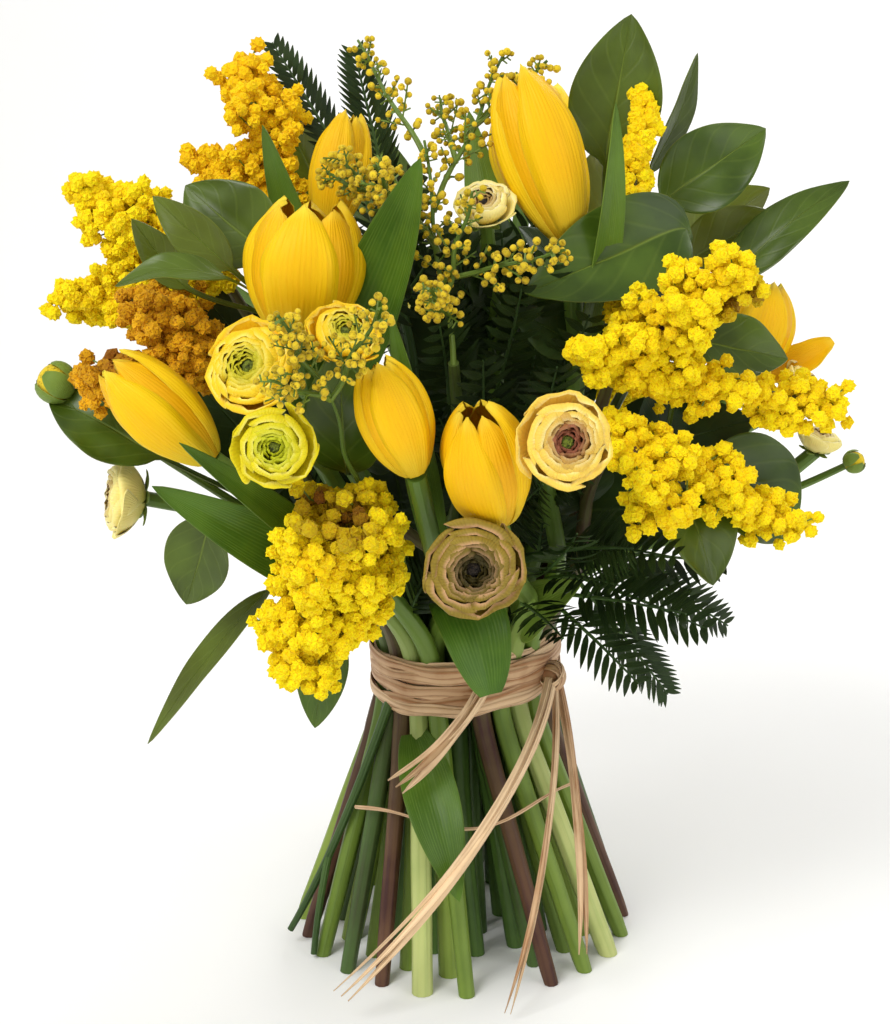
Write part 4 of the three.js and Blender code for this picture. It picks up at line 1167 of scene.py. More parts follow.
@dataclass(frozen=True)
class StemFinish:
    """Stems: a lower and an upper colour, the upper one on some stems darkened as painted shade, fine lengthwise lines,
    and a pale cut end.
    """

    name: str
    lower: Colour
    upper: Colour
    streak: Colour
    cut: Colour = (196, 204, 150)
    streaks: float = 0.35
    count: float = 9.0
    rough: float = 0.45

    def make(self) -> Material:
        """Builds the material: the colour runs up the stem, streaks follow it, and the tint darkens a stem.

        Returns:
            The material.
        """
        material, graph = new_material(self.name)
        along = graph.place()[1]
        lines, patches = graph.lines(self.count), graph.noise(30.0)
        uneven = graph.maths("ADD", graph.product(lines, 0.7), graph.ramp(patches, 0.4, 0.75))
        # painted shade: on the tulip and ranunculus stems the upper colour is darker, standing for the shade inside the
        # crown
        colour = graph.layers(paint(self.lower), (graph.ramp(along, 0.1, 0.75), self.upper),
                              (graph.product(graph.attribute("tint"), 0.6), self.streak),
                              (graph.product(uneven, self.streaks), self.streak),
                              (graph.ramp(graph.attribute("mark"), CUT_RIM + 0.02, 0.8), self.cut))
        shader(graph, colour, graph.ramp(patches, 0.2, 0.8, self.rough - 0.08, self.rough + 0.12), lines, 0.0003,
               Subsurface_Weight=0.08, Subsurface_Radius=(0.003, 0.004, 0.001), Specular_IOR_Level=0.4)
        return material


@dataclass(frozen=True)
class FluffFinish:
    """Mimosa balls: light tips with painted shade in the gaps between stamens and on balls deep in a sprig, dried to
    brown where the mesh is marked.
    """

    name: str
    tip: Colour
    # the darker colour, which on mimosa paints the shade between stamens and deep in a sprig
    depth: Colour
    dried: Colour
    grain: float = 1200.0
    sheen: float = 0.05

    def make(self) -> Material:
        """Builds the material: fine grain gives light tips and dark gaps, the dark gaps being painted shade.

        Returns:
            The material.
        """
        material, graph = new_material(self.name)
        grain = graph.noise(self.grain, 2.0)
        # painted shade: the darker colour fills the gaps of the grain, and the tint darkens whole balls towards it,
        # partly at random and, on a sprig's inner layer, as shade
        colour = graph.layers(paint(self.depth), (graph.ramp(grain, 0.28, 0.5), self.tip),
                              (graph.product(graph.attribute("tint"), 0.55), self.depth),
                              (graph.attribute("mark"), self.dried))
        shader(graph, colour, 0.85, grain, 0.0007, Sheen_Weight=self.sheen, Sheen_Roughness=0.6,
               Subsurface_Weight=0.1, Subsurface_Radius=(0.004, 0.003, 0.001), Specular_IOR_Level=0.08)
        return material


@dataclass(frozen=True)
class FibreFinish:
    """Raffia: dry flat strands with lengthwise fibres."""

    name: str
    light: Colour
    dark: Colour
    rough: float = 0.62
    fibres: float = 5.0

    def make(self) -> Material:
        """Builds the material: fibres run along a strand, and the tint darkens it.

        Returns:
            The material.
        """
        material, graph = new_material(self.name)
        lines, patches = graph.lines(self.fibres, 2.0), graph.noise(60.0, 4.0)
        share = graph.maths("ADD", graph.product(lines, 0.4), graph.ramp(patches, 0.4, 0.8, 0.0, 0.3))
        share = graph.maths("ADD", share, graph.product(graph.attribute("tint"), 0.7))
        colour = graph.layers(paint(self.light), (share, self.dark))
        shader(graph, colour, graph.ramp(patches, 0.2, 0.8, self.rough - 0.1, self.rough + 0.1), lines, 0.0005,
               Specular_IOR_Level=0.4, Sheen_Weight=0.1)
        return material


Look = PetalFinish | LeafFinish | StemFinish | FluffFinish | FibreFinish


# ---- leaves ----
def bezier(a: Array, b: Array, c: Array, t: Array) -> Array:
    """Points of the quadratic curve from a towards b to c."""
    t = t[:, None]
    return (1 - t) ** 2 * a + 2 * t * (1 - t) * b + t ** 2 * c


def smooth_through(points: Array, t: Array) -> Array:
    """Points of a curve through all the given points, at shares of its whole length in spans.

    Each span is a cubic whose end directions follow the neighbouring points, weighed by the roots of their distances.
    The points before the first and after the last are mirrored ones.

    Args:
        points: The points to pass.
        t: Shares from 0 to 1.

    Returns:
        The curve's points.
    """
    p = np.concatenate([[2 * points[0] - points[1]], points, [2 * points[-1] - points[-2]]])
    s = t * (len(points) - 1)
    i = np.minimum(s.astype(int), len(points) - 2)
    w = (s - i)[:, None]
    x0, x1, x2, x3 = (p[i + k] for k in range(4))
    d0, d1, d2 = (np.linalg.norm(b - a, axis=1, keepdims=True) ** 0.5 for a, b in ((x0, x1), (x1, x2), (x2, x3)))
    leave = ((x1 - x0) / d0 - (x2 - x0) / (d0 + d1) + (x2 - x1) / d1) * d1
    arrive = ((x2 - x1) / d1 - (x3 - x1) / (d1 + d2) + (x3 - x2) / d2) * d1
    return (x1 + leave * w + (3 * (x2 - x1) - 2 * leave - arrive) * w ** 2
            + (2 * (x1 - x2) + leave + arrive) * w ** 3)


@dataclass
class LeafShape:
    """A leaf: a blade along a curved spine, with a folded middle, a wavy rim, and a stalk if it grows from one."""

    leaf: Leaf
    outline: Outline
    stalk: Optional[Array] = None
    rows: int = 30
    columns: int = 15
    thickness: float = 0.6
    waves: float = 0.05
    seed: float = 0.0

    def halves(self, v: Array) -> Array:
        """Half the width of the blade: a power of a sine, whose widest part the outline places.

        Args:
            v: Places along the blade, from 0 to 1.

        Returns:
            Half the width at each place.
        """
        if self.outline is Outline.LANCE:
            share = np.sin(np.pi * np.minimum(1, 0.12 + 0.88 * v ** 0.9)) ** 0.75
        elif self.outline is Outline.BLUNT:
            share = np.sin(np.pi * (0.05 + 0.92 * v ** 1.3)) ** 0.5
        else:
            share = np.sin(np.pi * v ** 0.76) ** 0.8
        return np.maximum(0.12, self.leaf.width / 2 * share)

    def spine(self, foot: Array, out: Array, t: Array) -> Array:
        """The middle line: it bulges to one side by the leaf's arch.

        Args:
            foot: Where the blade starts.
            out: The side to which it bulges.
            t: Places along it, from 0 to 1.

        Returns:
            The line's points.
        """
        tip = vec(self.leaf.tip)
        bulge = out * self.leaf.arch * np.linalg.norm(tip - foot)
        if self.stalk is None:
            return bezier(foot, (foot + tip) / 2 + 2 * bulge, tip, t)
        return smooth_through(np.array([self.stalk, foot, (foot + tip) / 2 + bulge, tip]), t)

    def grid(self, foot: Array) -> Array:
        """The blade's points.

        A point is the spine's point, plus its place across times half the width, plus a lift that grows with the
        square of its place across, less a fold on the middle line, plus waves towards the rim.

        Args:
            foot: Where the blade starts.

        Returns:
            The points, rows by columns by 3.
        """
        axis = vec(self.leaf.tip) - foot
        out = square_to(axis, vec(self.leaf.face))
        t = np.linspace(0, 1, self.rows)
        line = self.spine(foot, out, t)
        if self.stalk is None:
            half = self.halves(t)
        else:
            half = np.where(t < 1 / 3, 1.1, self.halves(np.maximum(0, t - 1 / 3) * 1.5))
            half = np.maximum(half, lerp(1.1, 0.12, t))
        tangent = unit(np.gradient(line, axis=0))
        across = unit(np.cross(tangent, out))
        lift = np.cross(across, tangent)
        u = across_shares(self.columns)
        wave = ripple(9 * t[:, None], 2 * u + self.seed, self.seed) * np.abs(u) ** 1.5
        rise = half[:, None] * (self.leaf.cup * u ** 2 - 0.07 * np.exp(-(u / 0.14) ** 2) + 2 * self.waves * wave)
        twist = 0.12 * ripple(3 * t[:, None], 0 * u, self.seed + 2)
        rise = rise + half[:, None] * twist * u
        return line[:, None] + across[:, None] * (u * half[:, None])[..., None] + lift[:, None] * rise[..., None]

    def patch(self, foot: Array, tint: float, finish: int) -> Patch:
        """The leaf as a closed patch."""
        return shell(self.grid(foot), self.thickness, tint, finish)


def stand(axis: Sequence[float]) -> Array:
    """The turn that takes +Z to an axis by the shortest way."""
    return np.array(Vector((0, 0, 1)).rotation_difference(Vector(tuple(axis))).to_matrix())


# ---- tulips ----
@dataclass
class TulipBloom(Maker):
    """A tulip's bloom: three outer and three inner petals, a pistil and six stamens."""

    row: Tulip
    rng: np.random.Generator
    rows: int = 30
    columns: int = 19
    thickness: float = 0.6
    stamens: int = 6
    narrow: float = 0.09  # the width of a petal's foot, as a share of its spread
    shoulder: float = 5.2  # how far up a petal keeps its width
    closing: tuple[float, float] = (0.85, 0.9)  # how far the belly comes round at the tip, in full and slim blooms

    def petal(self, centre: float, length: float, radius: float, spread: float) -> Array:
        """A petal's points, upright on the origin.

        Its direction spreads from the centre line, and narrows to a rounded tip; its distance from the axis follows
        a belly, less a fold on the middle line and plus waves on the rim; the tip leans out or in a little.

        Args:
            centre: The direction of its middle line.
            length: Its height.
            radius: How far out its belly lies.
            spread: How far round it reaches to each side, in radians.

        Returns:
            The points, rows by columns by 3.
        """
        seed = self.draw(0, 9)
        curl = self.draw(-0.12, 0.02)
        v = (np.linspace(0, 1, self.rows) ** 0.9)[:, None]
        u = across_shares(self.columns)
        width = self.narrow + (1 - self.narrow) * np.maximum(0, 1 - v ** self.shoulder) ** 0.5
        turn = centre + u * spread * width + 0.035 * ripple(3 * v, 0 * u, seed)
        closing = self.closing[0] if radius > FULL_BLOOM else self.closing[1]
        belly = np.sin(np.pi * (0.03 + closing * v ** 1.08)) ** 0.55
        r = radius * belly * (1 - 0.11 * u * u)
        r = r + radius * ((0.05 * np.cos(3 * np.pi * u) - 0.1 * np.exp(-(u / 0.16) ** 2)) * np.sin(np.pi * v) ** 0.6
                          + 0.045 * np.abs(u) ** 1.5 * ripple(6 * v, 2.5 * u, seed)
                          + 0.03 * ripple(4 * v, 5 * u, seed + 3) + curl * v ** 6 * (1 + 0.6 * u * u))
        return polar(turn, r, length * v * (1 - 0.05 * u * u * v))

    def cup(self) -> Patches:
        """The bloom, upright on the origin.

        Yields:
            The petals, the receptacle, the pistil and the stamens.
        """
        length = float(np.linalg.norm(vec(self.row.tip) - vec(self.row.base)))
        radius = self.row.radius
        for k in range(3):
            centre = self.row.turn + k * TURN / 3
            yield shell(self.petal(centre, length * self.draw(0.97, 1.01), radius, 0.86), self.thickness,
                        self.draw(0.0, 0.25))
            yield shell(self.petal(centre + TURN / 6, length * self.draw(0.95, 0.99), radius * 0.95 - 1.3, 0.95),
                        self.thickness, self.draw(0.1, 0.4))
        up = polar(0, 0, np.linspace(0, 1, 7))
        yield tube(up * length * 0.07, radius * np.array([0.17, 0.24, 0.28, 0.3, 0.26, 0.2, 0.1]), vec((1, 0, 0)), 14,
                   finish=1)
        yield tube(up * length * 0.36 + [0, 0, 1], np.array([2.6, 2.8, 2.8, 2.6, 2.3, 3.2, 2.4]), vec((1, 0, 0)), 9,
                   finish=1)
        for k in range(self.stamens):
            out = polar(k * TURN / self.stamens, 1, 0)
            path = up * length * 0.3 + out * (3.4 + 3 * up[:, [2]])
            yield tube(path, np.array([0.6, 0.6, 0.6, 0.6, 1.5, 1.6, 0.7]), out, 6, finish=2)

    def patches(self) -> Patches:
        """The bloom on its stem, and the petal that has dropped out of the cup and hangs from it, if there is one.

        Yields:
            The bloom's patches.
        """
        turn = stand(vec(self.row.tip) - vec(self.row.base))
        yield from (patch.moved(turn, vec(self.row.base)) for patch in self.cup())
        if self.row.fallen:
            petal = replace(self.row.fallen, cup=0.5, face=(0.1, -0.5, 0.85))
            shape = LeafShape(petal, Outline.BLUNT, rows=24, columns=15, waves=0.07, seed=4)
            yield shape.patch(vec(self.row.fallen.foot), 0.2, 0)


# ---- ranunculus ----
@dataclass
class RanunculusBloom(Maker):
    """A ranunculus head: whorl within whorl of thin cupped petals round a small dark eye."""

    row: Ranunculus
    rng: np.random.Generator
    rows: int = 11
    columns: int = 13
    thickness: float = 0.45
    whorl_step: float = 2.1  # the radius that one whorl takes up
    least_whorls: int = 6
    heart: float = 0.24  # the size of the innermost whorl, as a share of the head's radius
    carpels: int = 26
    sepal_count: int = 5

    def rim_height(self, share: float) -> float:
        """How high a whorl's rim stands, in radii, by its share of the head's radius."""
        return float(np.interp(share, [0.24, 0.4, 0.6, 0.8, 1.0], [0.93, 1.03, 1.08, 1.05, 0.92]))

    def petal(self, share: float, centre: float, spread: float, flare: float) -> Array:
        """A petal's points, on the origin and facing up.

        Its distance from the axis follows a sine that turns in again at the rim; its height rises to the whorl's
        rim, lower towards its sides; one side lies further in than the other, so that each petal laps over the next; a
        flare lays the rim outwards and down.

        Args:
            share: The whorl's size, as a share of the head's radius.
            centre: The direction of the petal's middle line.
            spread: How far round it reaches to each side, in radians.
            flare: How far its rim is laid outwards.

        Returns:
            The points, rows by columns by 3.
        """
        radius, seed = self.row.radius, self.draw(0, 9)
        s = np.linspace(0, 1, self.rows)[:, None]
        u = across_shares(self.columns)
        narrow = 0.35 + 0.65 * np.sin(np.pi / 2 * np.minimum(1, 1.5 * s)) * np.sqrt(1 - 0.45 * s ** 6)
        turn = centre + u * spread * narrow
        r = radius * share * np.sin(np.pi * (0.07 + lerp(0.78, 0.66, share) * s)) ** 0.75
        wave = ripple(3 * u + 2 * seed, 2 * s, seed)
        r = r * (1 + 0.07 * u * s + (0.1 + 0.3 * flare) * wave * s ** 2 + flare * s ** 3)
        top = self.rim_height(share) * (1 - 0.1 * np.abs(u) ** 3) * (1 + 0.09 * wave)
        z = radius * FLATTENING * (top * np.sin(np.pi / 2 * s) ** (1.1 + 0.5 * (1 - share)) - flare * 0.9 * s ** 3)
        return polar(turn, r, z)

    def whorls(self) -> Patches:
        """The petals, upright on the origin.

        Yields:
            The guard petals, then the petals of each whorl within.
        """
        whorls = max(self.least_whorls, round(self.row.radius / self.whorl_step))
        turn = self.draw(0, TURN)
        for n in range(whorls):
            depth = n / (whorls - 1)
            share = lerp(1.0, self.heart, depth ** 0.78)
            petals = 5 if n < whorls - 2 else 4
            turn += GOLDEN_TURN
            for k in range(petals):
                flare = self.draw(0.0, 0.3) * (1 if n == 0 else 0.45 if n == 1 else 0.1)
                centre = turn + k * TURN / petals + self.draw(-0.24, 0.24)
                tint = float(np.clip(1.8 * (depth - 0.2) + self.draw(-0.1, 0.1), 0, 1))
                yield shell(self.petal(share * self.draw(0.95, 1.03), centre, lerp(0.86, 1.0, depth), flare),
                            self.thickness, tint)

    def eye(self) -> Patches:
        """The eye: a low cone of small round carpels.

        Yields:
            The carpels.
        """
        radius, count = self.row.radius, self.carpels
        k = np.arange(count)
        height = 1 - k / count
        middle = polar(GOLDEN_TURN * k, radius * 0.17 * np.sqrt(k / count), radius * FLATTENING * (0.7 + 0.14 * height))
        yield balls(middle, np.full(count, radius * 0.055), self.rng, round_ball(1), 0.05,
                    self.draw(0, 1, count), finish=1)

    def sepals(self) -> Patches:
        """Small green sepals under the head, bent back against the stem.

        Yields:
            The sepals.
        """
        radius = self.row.radius
        for k in range(self.sepal_count):
            out = polar(k * TURN / self.sepal_count + 0.3, 1, 0)
            leaf = Leaf(tuple(out * radius * 0.78 + [0, 0, radius * 0.02]), radius * 0.34, (0, 0, -1), 0.12, -0.3)
            yield LeafShape(leaf, Outline.LANCE, rows=12, columns=7, seed=k).patch(out * 2, 0.3, 2)

    def patches(self) -> Patches:
        """The head on its stem.

        Yields:
            The petals, the eye and the sepals.
        """
        toward = unit(vec(self.row.toward))
        base = vec(self.row.face) - toward * self.row.radius * HEAD_DEPTH
        for patches in (self.whorls(), self.eye(), self.sepals()):
            yield from (patch.moved(stand(toward), base) for patch in patches)


# ---- stems with leaves ----
def stem_tube(rng: np.random.Generator, stem: Stem, tint: float, sides: int = 12, knots: int = 0) -> Patch:
    """A stem as a closed tube that isn't quite round, with knots where a woody stem has them.

    Its radius is scaled by a ripple along and round it, and by a bell-shaped swelling at each knot.

    Args:
        rng: The stream of draws.
        stem: The stem.
        tint: Its own shade.
        sides: The number of points round it.
        knots: The number of knots.

    Returns:
        The patch, with its foot flat on the floor.
    """
    line, radius = stem.line()
    seed = rng.uniform(0, 9)
    along = np.linspace(0, 1, len(line))[:, None]
    turn = TURN * np.arange(sides)[None] / sides
    swell = 1 + 0.05 * ripple(14 * along, np.sin(turn + seed), seed) - 0.03
    for at in rng.uniform(0.3, 0.95, knots):
        swell = swell + 0.16 * np.exp(-((along - at) / 0.012) ** 2)
    made = tube(line, radius, SEAM, sides, tint, 0, swell)
    made.points[:sides, 2] = 0
    return made


@dataclass
class LeafyPiece(Maker):
    """A stem and the leaves that grow on it, as one piece with two finishes."""

    stem: Stem
    leaves: tuple[Leaf, ...]
    rng: np.random.Generator
    outline: Outline = Outline.OVAL
    knots: int = 0
    extra: Sequence[Patch] = ()

    def foot(self, leaf: Leaf) -> tuple[Array, Optional[Array]]:
        """Finds where a leaf starts.

        Args:
            leaf: The leaf.

        Returns:
            Where its blade starts, and where its stalk leaves the stem if it has one.
        """
        if leaf.on is not None and leaf.foot is None:
            return self.stem.along(leaf.on), None
        if leaf.under is not None:
            return self.stem.slot.at(leaf.under, 0.38 * self.stem.slot.diameter), None
        if leaf.on is not None:
            return vec(leaf.foot), self.stem.along(leaf.on)
        shares = np.linspace(0.2, 1, 33)
        gaps = [np.linalg.norm(self.stem.along(t) - vec(leaf.foot)) for t in shares]
        nearest = shares[int(np.argmin(gaps))]
        return vec(leaf.foot), self.stem.along(max(0.15, nearest - 0.12))

    def patches(self) -> Patches:
        """The stem and what grows on it.

        Yields:
            The stem, each leaf, and what else the piece was given.
        """
        yield stem_tube(self.rng, self.stem, self.draw(0, 0.5), knots=self.knots)
        for k, leaf in enumerate(self.leaves):
            foot, stalk = self.foot(leaf)
            outline = Outline.BLUNT if leaf.arch > 0.3 else self.outline
            shape = LeafShape(leaf, outline, stalk, rows=34 if stalk is None else 42,
                              waves=0.05 if self.outline is Outline.OVAL else 0.03, seed=self.draw(0, 9))
            tint = float(self.draw(0, 0.25) if self.rng.random() < 0.75 else self.draw(0.4, 0.75))
            yield shape.patch(foot, tint, 1)
        yield from self.extra


def side_bud(stem: Stem, at: Array, radius: float, rng: np.random.Generator) -> Patches:
    """A green side bud on a thin stalk that leaves a stem halfway up: round, with five sepals closed over it.

    Args:
        stem: The stem.
        at: The bud's middle.
        radius: The bud's radius.
        rng: The stream of draws.

    Yields:
        The stalk and the bud.
    """
    start, lean = stem.along(0.55), stem.along(0.7)
    points = np.array([start, lerp(lean, at, 0.6), at])
    path = smooth_through(points, np.linspace(0, 1, 16))
    yield tube(path, np.linspace(2.0, 1.5, 16), vec((0, 0, 1)), 8)
    yield balls(at[None], np.array([radius * 0.92]), rng, round_ball(2), 0.02, np.array([0.2]), finish=2)
    turn = stand(at - path[-3])
    for k in range(5):
        spread = k * TURN / 5
        s, u = np.linspace(0.02, 0.98, 10)[:, None], np.linspace(-1, 1, 7)[None]
        across = spread + 0.62 * u * np.sin(np.pi * (0.15 + 0.8 * s)) ** 0.6
        up = -np.cos(np.pi * (0.12 + 0.68 * s))
        out = np.sqrt(1 - up ** 2) * (1.02 + 0.05 * s)
        yield shell(radius * polar(across, out, up) @ turn.T + at, 0.5, 0.3, 1)


# ---- mimosa ----
@dataclass
class MimosaPiece(Maker):
    """A mimosa branch: a woody stem, dense sprigs of fluffy balls on fine stalks, and twigs strung with buds."""

    row: Mimosa
    stem: Stem
    rng: np.random.Generator
    gaps: tuple[float, float]
    dried: tuple[Point, ...]
    spacing: float = 9.4
    clump: int = 7  # balls in a clump
    string: int = 5  # buds along a side stalk of a twig
    forking: int = 6  # a twig with so many buds has side twigs

    def sprig(self, sprig: Sprig) -> Patches:
        """A sprig's balls and stalks.

        Clumps of balls stand round the sprig's axis at golden turns, in an outer layer and an inner one. Their
        distance follows a plump outline with lumps in it, and none stand where a second pattern leaves a gap. A fine
        stalk joins each clump to the axis.

        Args:
            sprig: The sprig.

        Yields:
            Its patches.
        """
        a, b = vec(self.row.end), vec(sprig.to)
        axis = unit(b - a)
        length = np.linalg.norm(b - a)
        side = unit(np.cross(vec((0.3, 0.5, 0.8)), axis))
        across = np.cross(axis, side)
        seed = self.draw(0, 9)
        yield tube(lerp(a, b, np.linspace(0, 0.97, 8)[:, None]), np.linspace(1.5, 0.8, 8), side, 6, 0.4)
        for layer, gap in zip((1.0, 0.5), self.gaps):
            radius = max(4.0, sprig.spread * layer)
            count = int(length * TURN * radius * 0.74 / self.spacing ** 2) + 3
            k = np.arange(count)
            v = (k + 0.5) / count
            turn = GOLDEN_TURN * k + self.draw(-0.3, 0.3, count)
            out = side * np.cos(turn)[:, None] + across * np.sin(turn)[:, None]
            place = v * length
            lumps = ripple(place / 7, 2 * np.sin(turn) + place / 30, seed)
            kept = ripple(place / 5 + 2 * np.cos(turn), 3 * np.sin(turn), seed + 5) > gap
            plump = np.sin(np.pi * (0.05 + 0.84 * v)) ** 0.6 * (1 + 0.25 * lumps)
            r = np.maximum(1.0, radius * plump - 4.0 + self.draw(-4.4, 3.0, count))
            centre = a + axis * (place + self.draw(-3, 3, count))[:, None]
            middle = centre + out * r[:, None]
            foot = centre - axis * np.minimum(9.0, 0.7 * r)[:, None]
            yield self.stalks(foot[kept], middle[kept])
            # the inner layer gets painted shade through a higher tint
            yield from self.clumps(middle[kept], unit(out + 0.5 * axis)[kept], 0.0 if layer == 1 else 0.35,
                                   sprig.spread > NARROW_SPRIG)

    def clumps(self, middle: Array, out: Array, shade: float, loose: bool) -> Patches:
        """Balls round the middle of each clump, and one on a longer stalk.

        Args:
            middle: The clumps' middles.
            out: The way that each clump grows.
            shade: How much darker they are, as painted shade on balls deep in the sprig.
            loose: Whether the clumps are wide, with one ball in some of them on a longer stalk.

        Yields:
            The balls and their stalks.
        """
        count, many = len(middle), self.clump
        k = np.arange(many)
        up = 1 - 2 * (k + 0.5) / many
        turn = GOLDEN_TURN * k + self.draw(0, TURN, (count, 1))
        flat = np.sqrt(1 - up ** 2)
        way = polar(turn, flat, up)
        reach = self.draw(4.0, 7.4, (count, many, 1)) * (1.0 if loose else 0.6)
        reach[:, 0] = np.where(self.rng.random((count, 1)) < 0.5 * loose, self.draw(7.0, 11.0, (count, 1)), 3.0)
        way[:, 0] = unit(out + self.rng.normal(0, 0.45, (count, 3)))
        ball = (middle[:, None] + way * reach).reshape(-1, 3)
        tint = np.clip(self.draw(0, 0.4, len(ball)) + shade, 0, 1)
        size = self.draw(2.6, 3.8, len(ball))
        shape = star_ball()
        patch = balls(ball, size, self.rng, shape, 0.12, tint, finish=1)
        patch.mark = np.repeat(self.dryness(ball), len(shape[0]))
        yield patch
        yield self.stalks(middle, ball[::many])

    def dryness(self, middle: Array) -> Array:
        """How dried each ball is: it falls off round each dried spot, less in depth than to the sides.

        Args:
            middle: The middles of the balls.

        Returns:
            A share for each ball, from 0 to 1.
        """
        dry = np.zeros(len(middle))
        for spot in self.dried:
            dry = np.maximum(dry, np.exp(-(np.linalg.norm((middle - vec(spot)) * [1, 0.45, 1], axis=1) / 11) ** 4))
        return dry * self.draw(0.35, 1.0, len(middle))

    def stalks(self, start: Array, end: Array) -> Patch:
        """Straight three-sided stalks, as one patch.

        Args:
            start: Where each stalk starts.
            end: Where each stalk ends.

        Returns:
            The patch.
        """
        count = len(start)
        way = unit(end - start)
        one = square_to(way, np.broadcast_to(vec((0.31, 0.22, 0.9)), way.shape))
        two = np.cross(way, one)
        turn = TURN * np.arange(3) / 3
        ring = 0.42 * (one[:, None] * np.cos(turn)[:, None] + two[:, None] * np.sin(turn)[:, None])
        points = np.concatenate([start[:, None] + ring, end[:, None] + ring], 1).reshape(-1, 3)
        quads = np.array([[0, 1, 4, 3], [1, 2, 5, 4], [2, 0, 3, 5]])
        caps = np.array([[2, 1, 0], [3, 4, 5]])
        shift = 6 * np.arange(count)[:, None, None]
        uv = np.zeros((1, 1, 2))
        return Patch(points, ((quads + shift).reshape(-1, 4), (caps + shift).reshape(-1, 3)),
                     (uv + np.zeros((3 * count, 4, 2)), uv + np.zeros((2 * count, 3, 2))),
                     np.full(6 * count, 0.3), np.zeros(6 * count), 3)

    def twig(self, twig: Twig) -> Patches:
        """A twig: a thin swaying stalk with side stalks at golden turns, each strung with round buds.

        Args:
            twig: The twig.

        Yields:
            The stalks, the buds and the side twigs.
        """
        a, b = vec(twig.start), vec(twig.to)
        side = unit(np.cross(vec((0.3, 0.5, 0.8)), b - a))
        other = unit(np.cross(b - a, side))
        t = np.linspace(0, 1, 20)[:, None]
        sway = 1.2 * np.sin(3 * np.pi * t) * side + 0.8 * np.sin(2 * np.pi * t + 1) * other
        yield tube(lerp(a, b, t) + sway * np.sin(np.pi * t) ** 0.5, np.linspace(1.3, 0.6, 20), side, 7, 0.5, 3)
        if not twig.buds:
            return
        count = 2 * twig.buds + 4
        t = lerp(0.18, 0.96, (np.arange(count) + 0.5) / count)[:, None]
        root = lerp(a, b, t) + 1.2 * np.sin(3 * np.pi * t) * side * np.sin(np.pi * t) ** 0.5
        turn = (GOLDEN_TURN * np.arange(count) + self.draw(0, TURN))[:, None]
        out = side * np.cos(turn) + other * np.sin(turn) + 0.9 * unit(b - a)
        end = root + out * self.draw(6.0, 13.0, (count, 1)) * np.sqrt(1.15 - t)
        yield self.stalks(root, end)
        many = self.string
        share = np.linspace(0.3, 1, many)[:, None]
        bud = lerp(root[:, None], end[:, None], share)
        sway = np.cos(np.pi * np.arange(many))[:, None] * square_to(out, np.cross(unit(b - a), out))[:, None]
        bud = bud + sway * self.draw(1.6, 4.2, (count, many, 1)) * (share < 1)
        yield self.stalks(lerp(root[:, None], end[:, None], share - 0.1).reshape(-1, 3), bud.reshape(-1, 3))
        bud = bud[self.rng.random((count, many)) < 0.8]
        size = self.draw(1.1, 1.75, len(bud))
        yield balls(bud, size, self.rng, round_ball(1), 0.05, self.draw(0, 1, len(bud)), finish=2)
        if twig.buds >= self.forking:
            for place, turned in ((0.3, 1), (0.5, -1)):
                start = lerp(a, b, place)
                reach = 0.42 * (b - a) + 0.3 * turned * np.linalg.norm(b - a) * side
                yield from self.twig(Twig(tuple(start), tuple(start + reach), 3))

    def patches(self) -> Patches:
        """The branch.

        Yields:
            The stem, the sprigs and the twigs.
        """
        yield stem_tube(self.rng, self.stem, self.draw(0, 0.6), 9, 4)
        for sprig in self.row.sprigs:
            yield from self.sprig(sprig)
        for twig in self.row.twigs:
            yield from self.twig(twig)


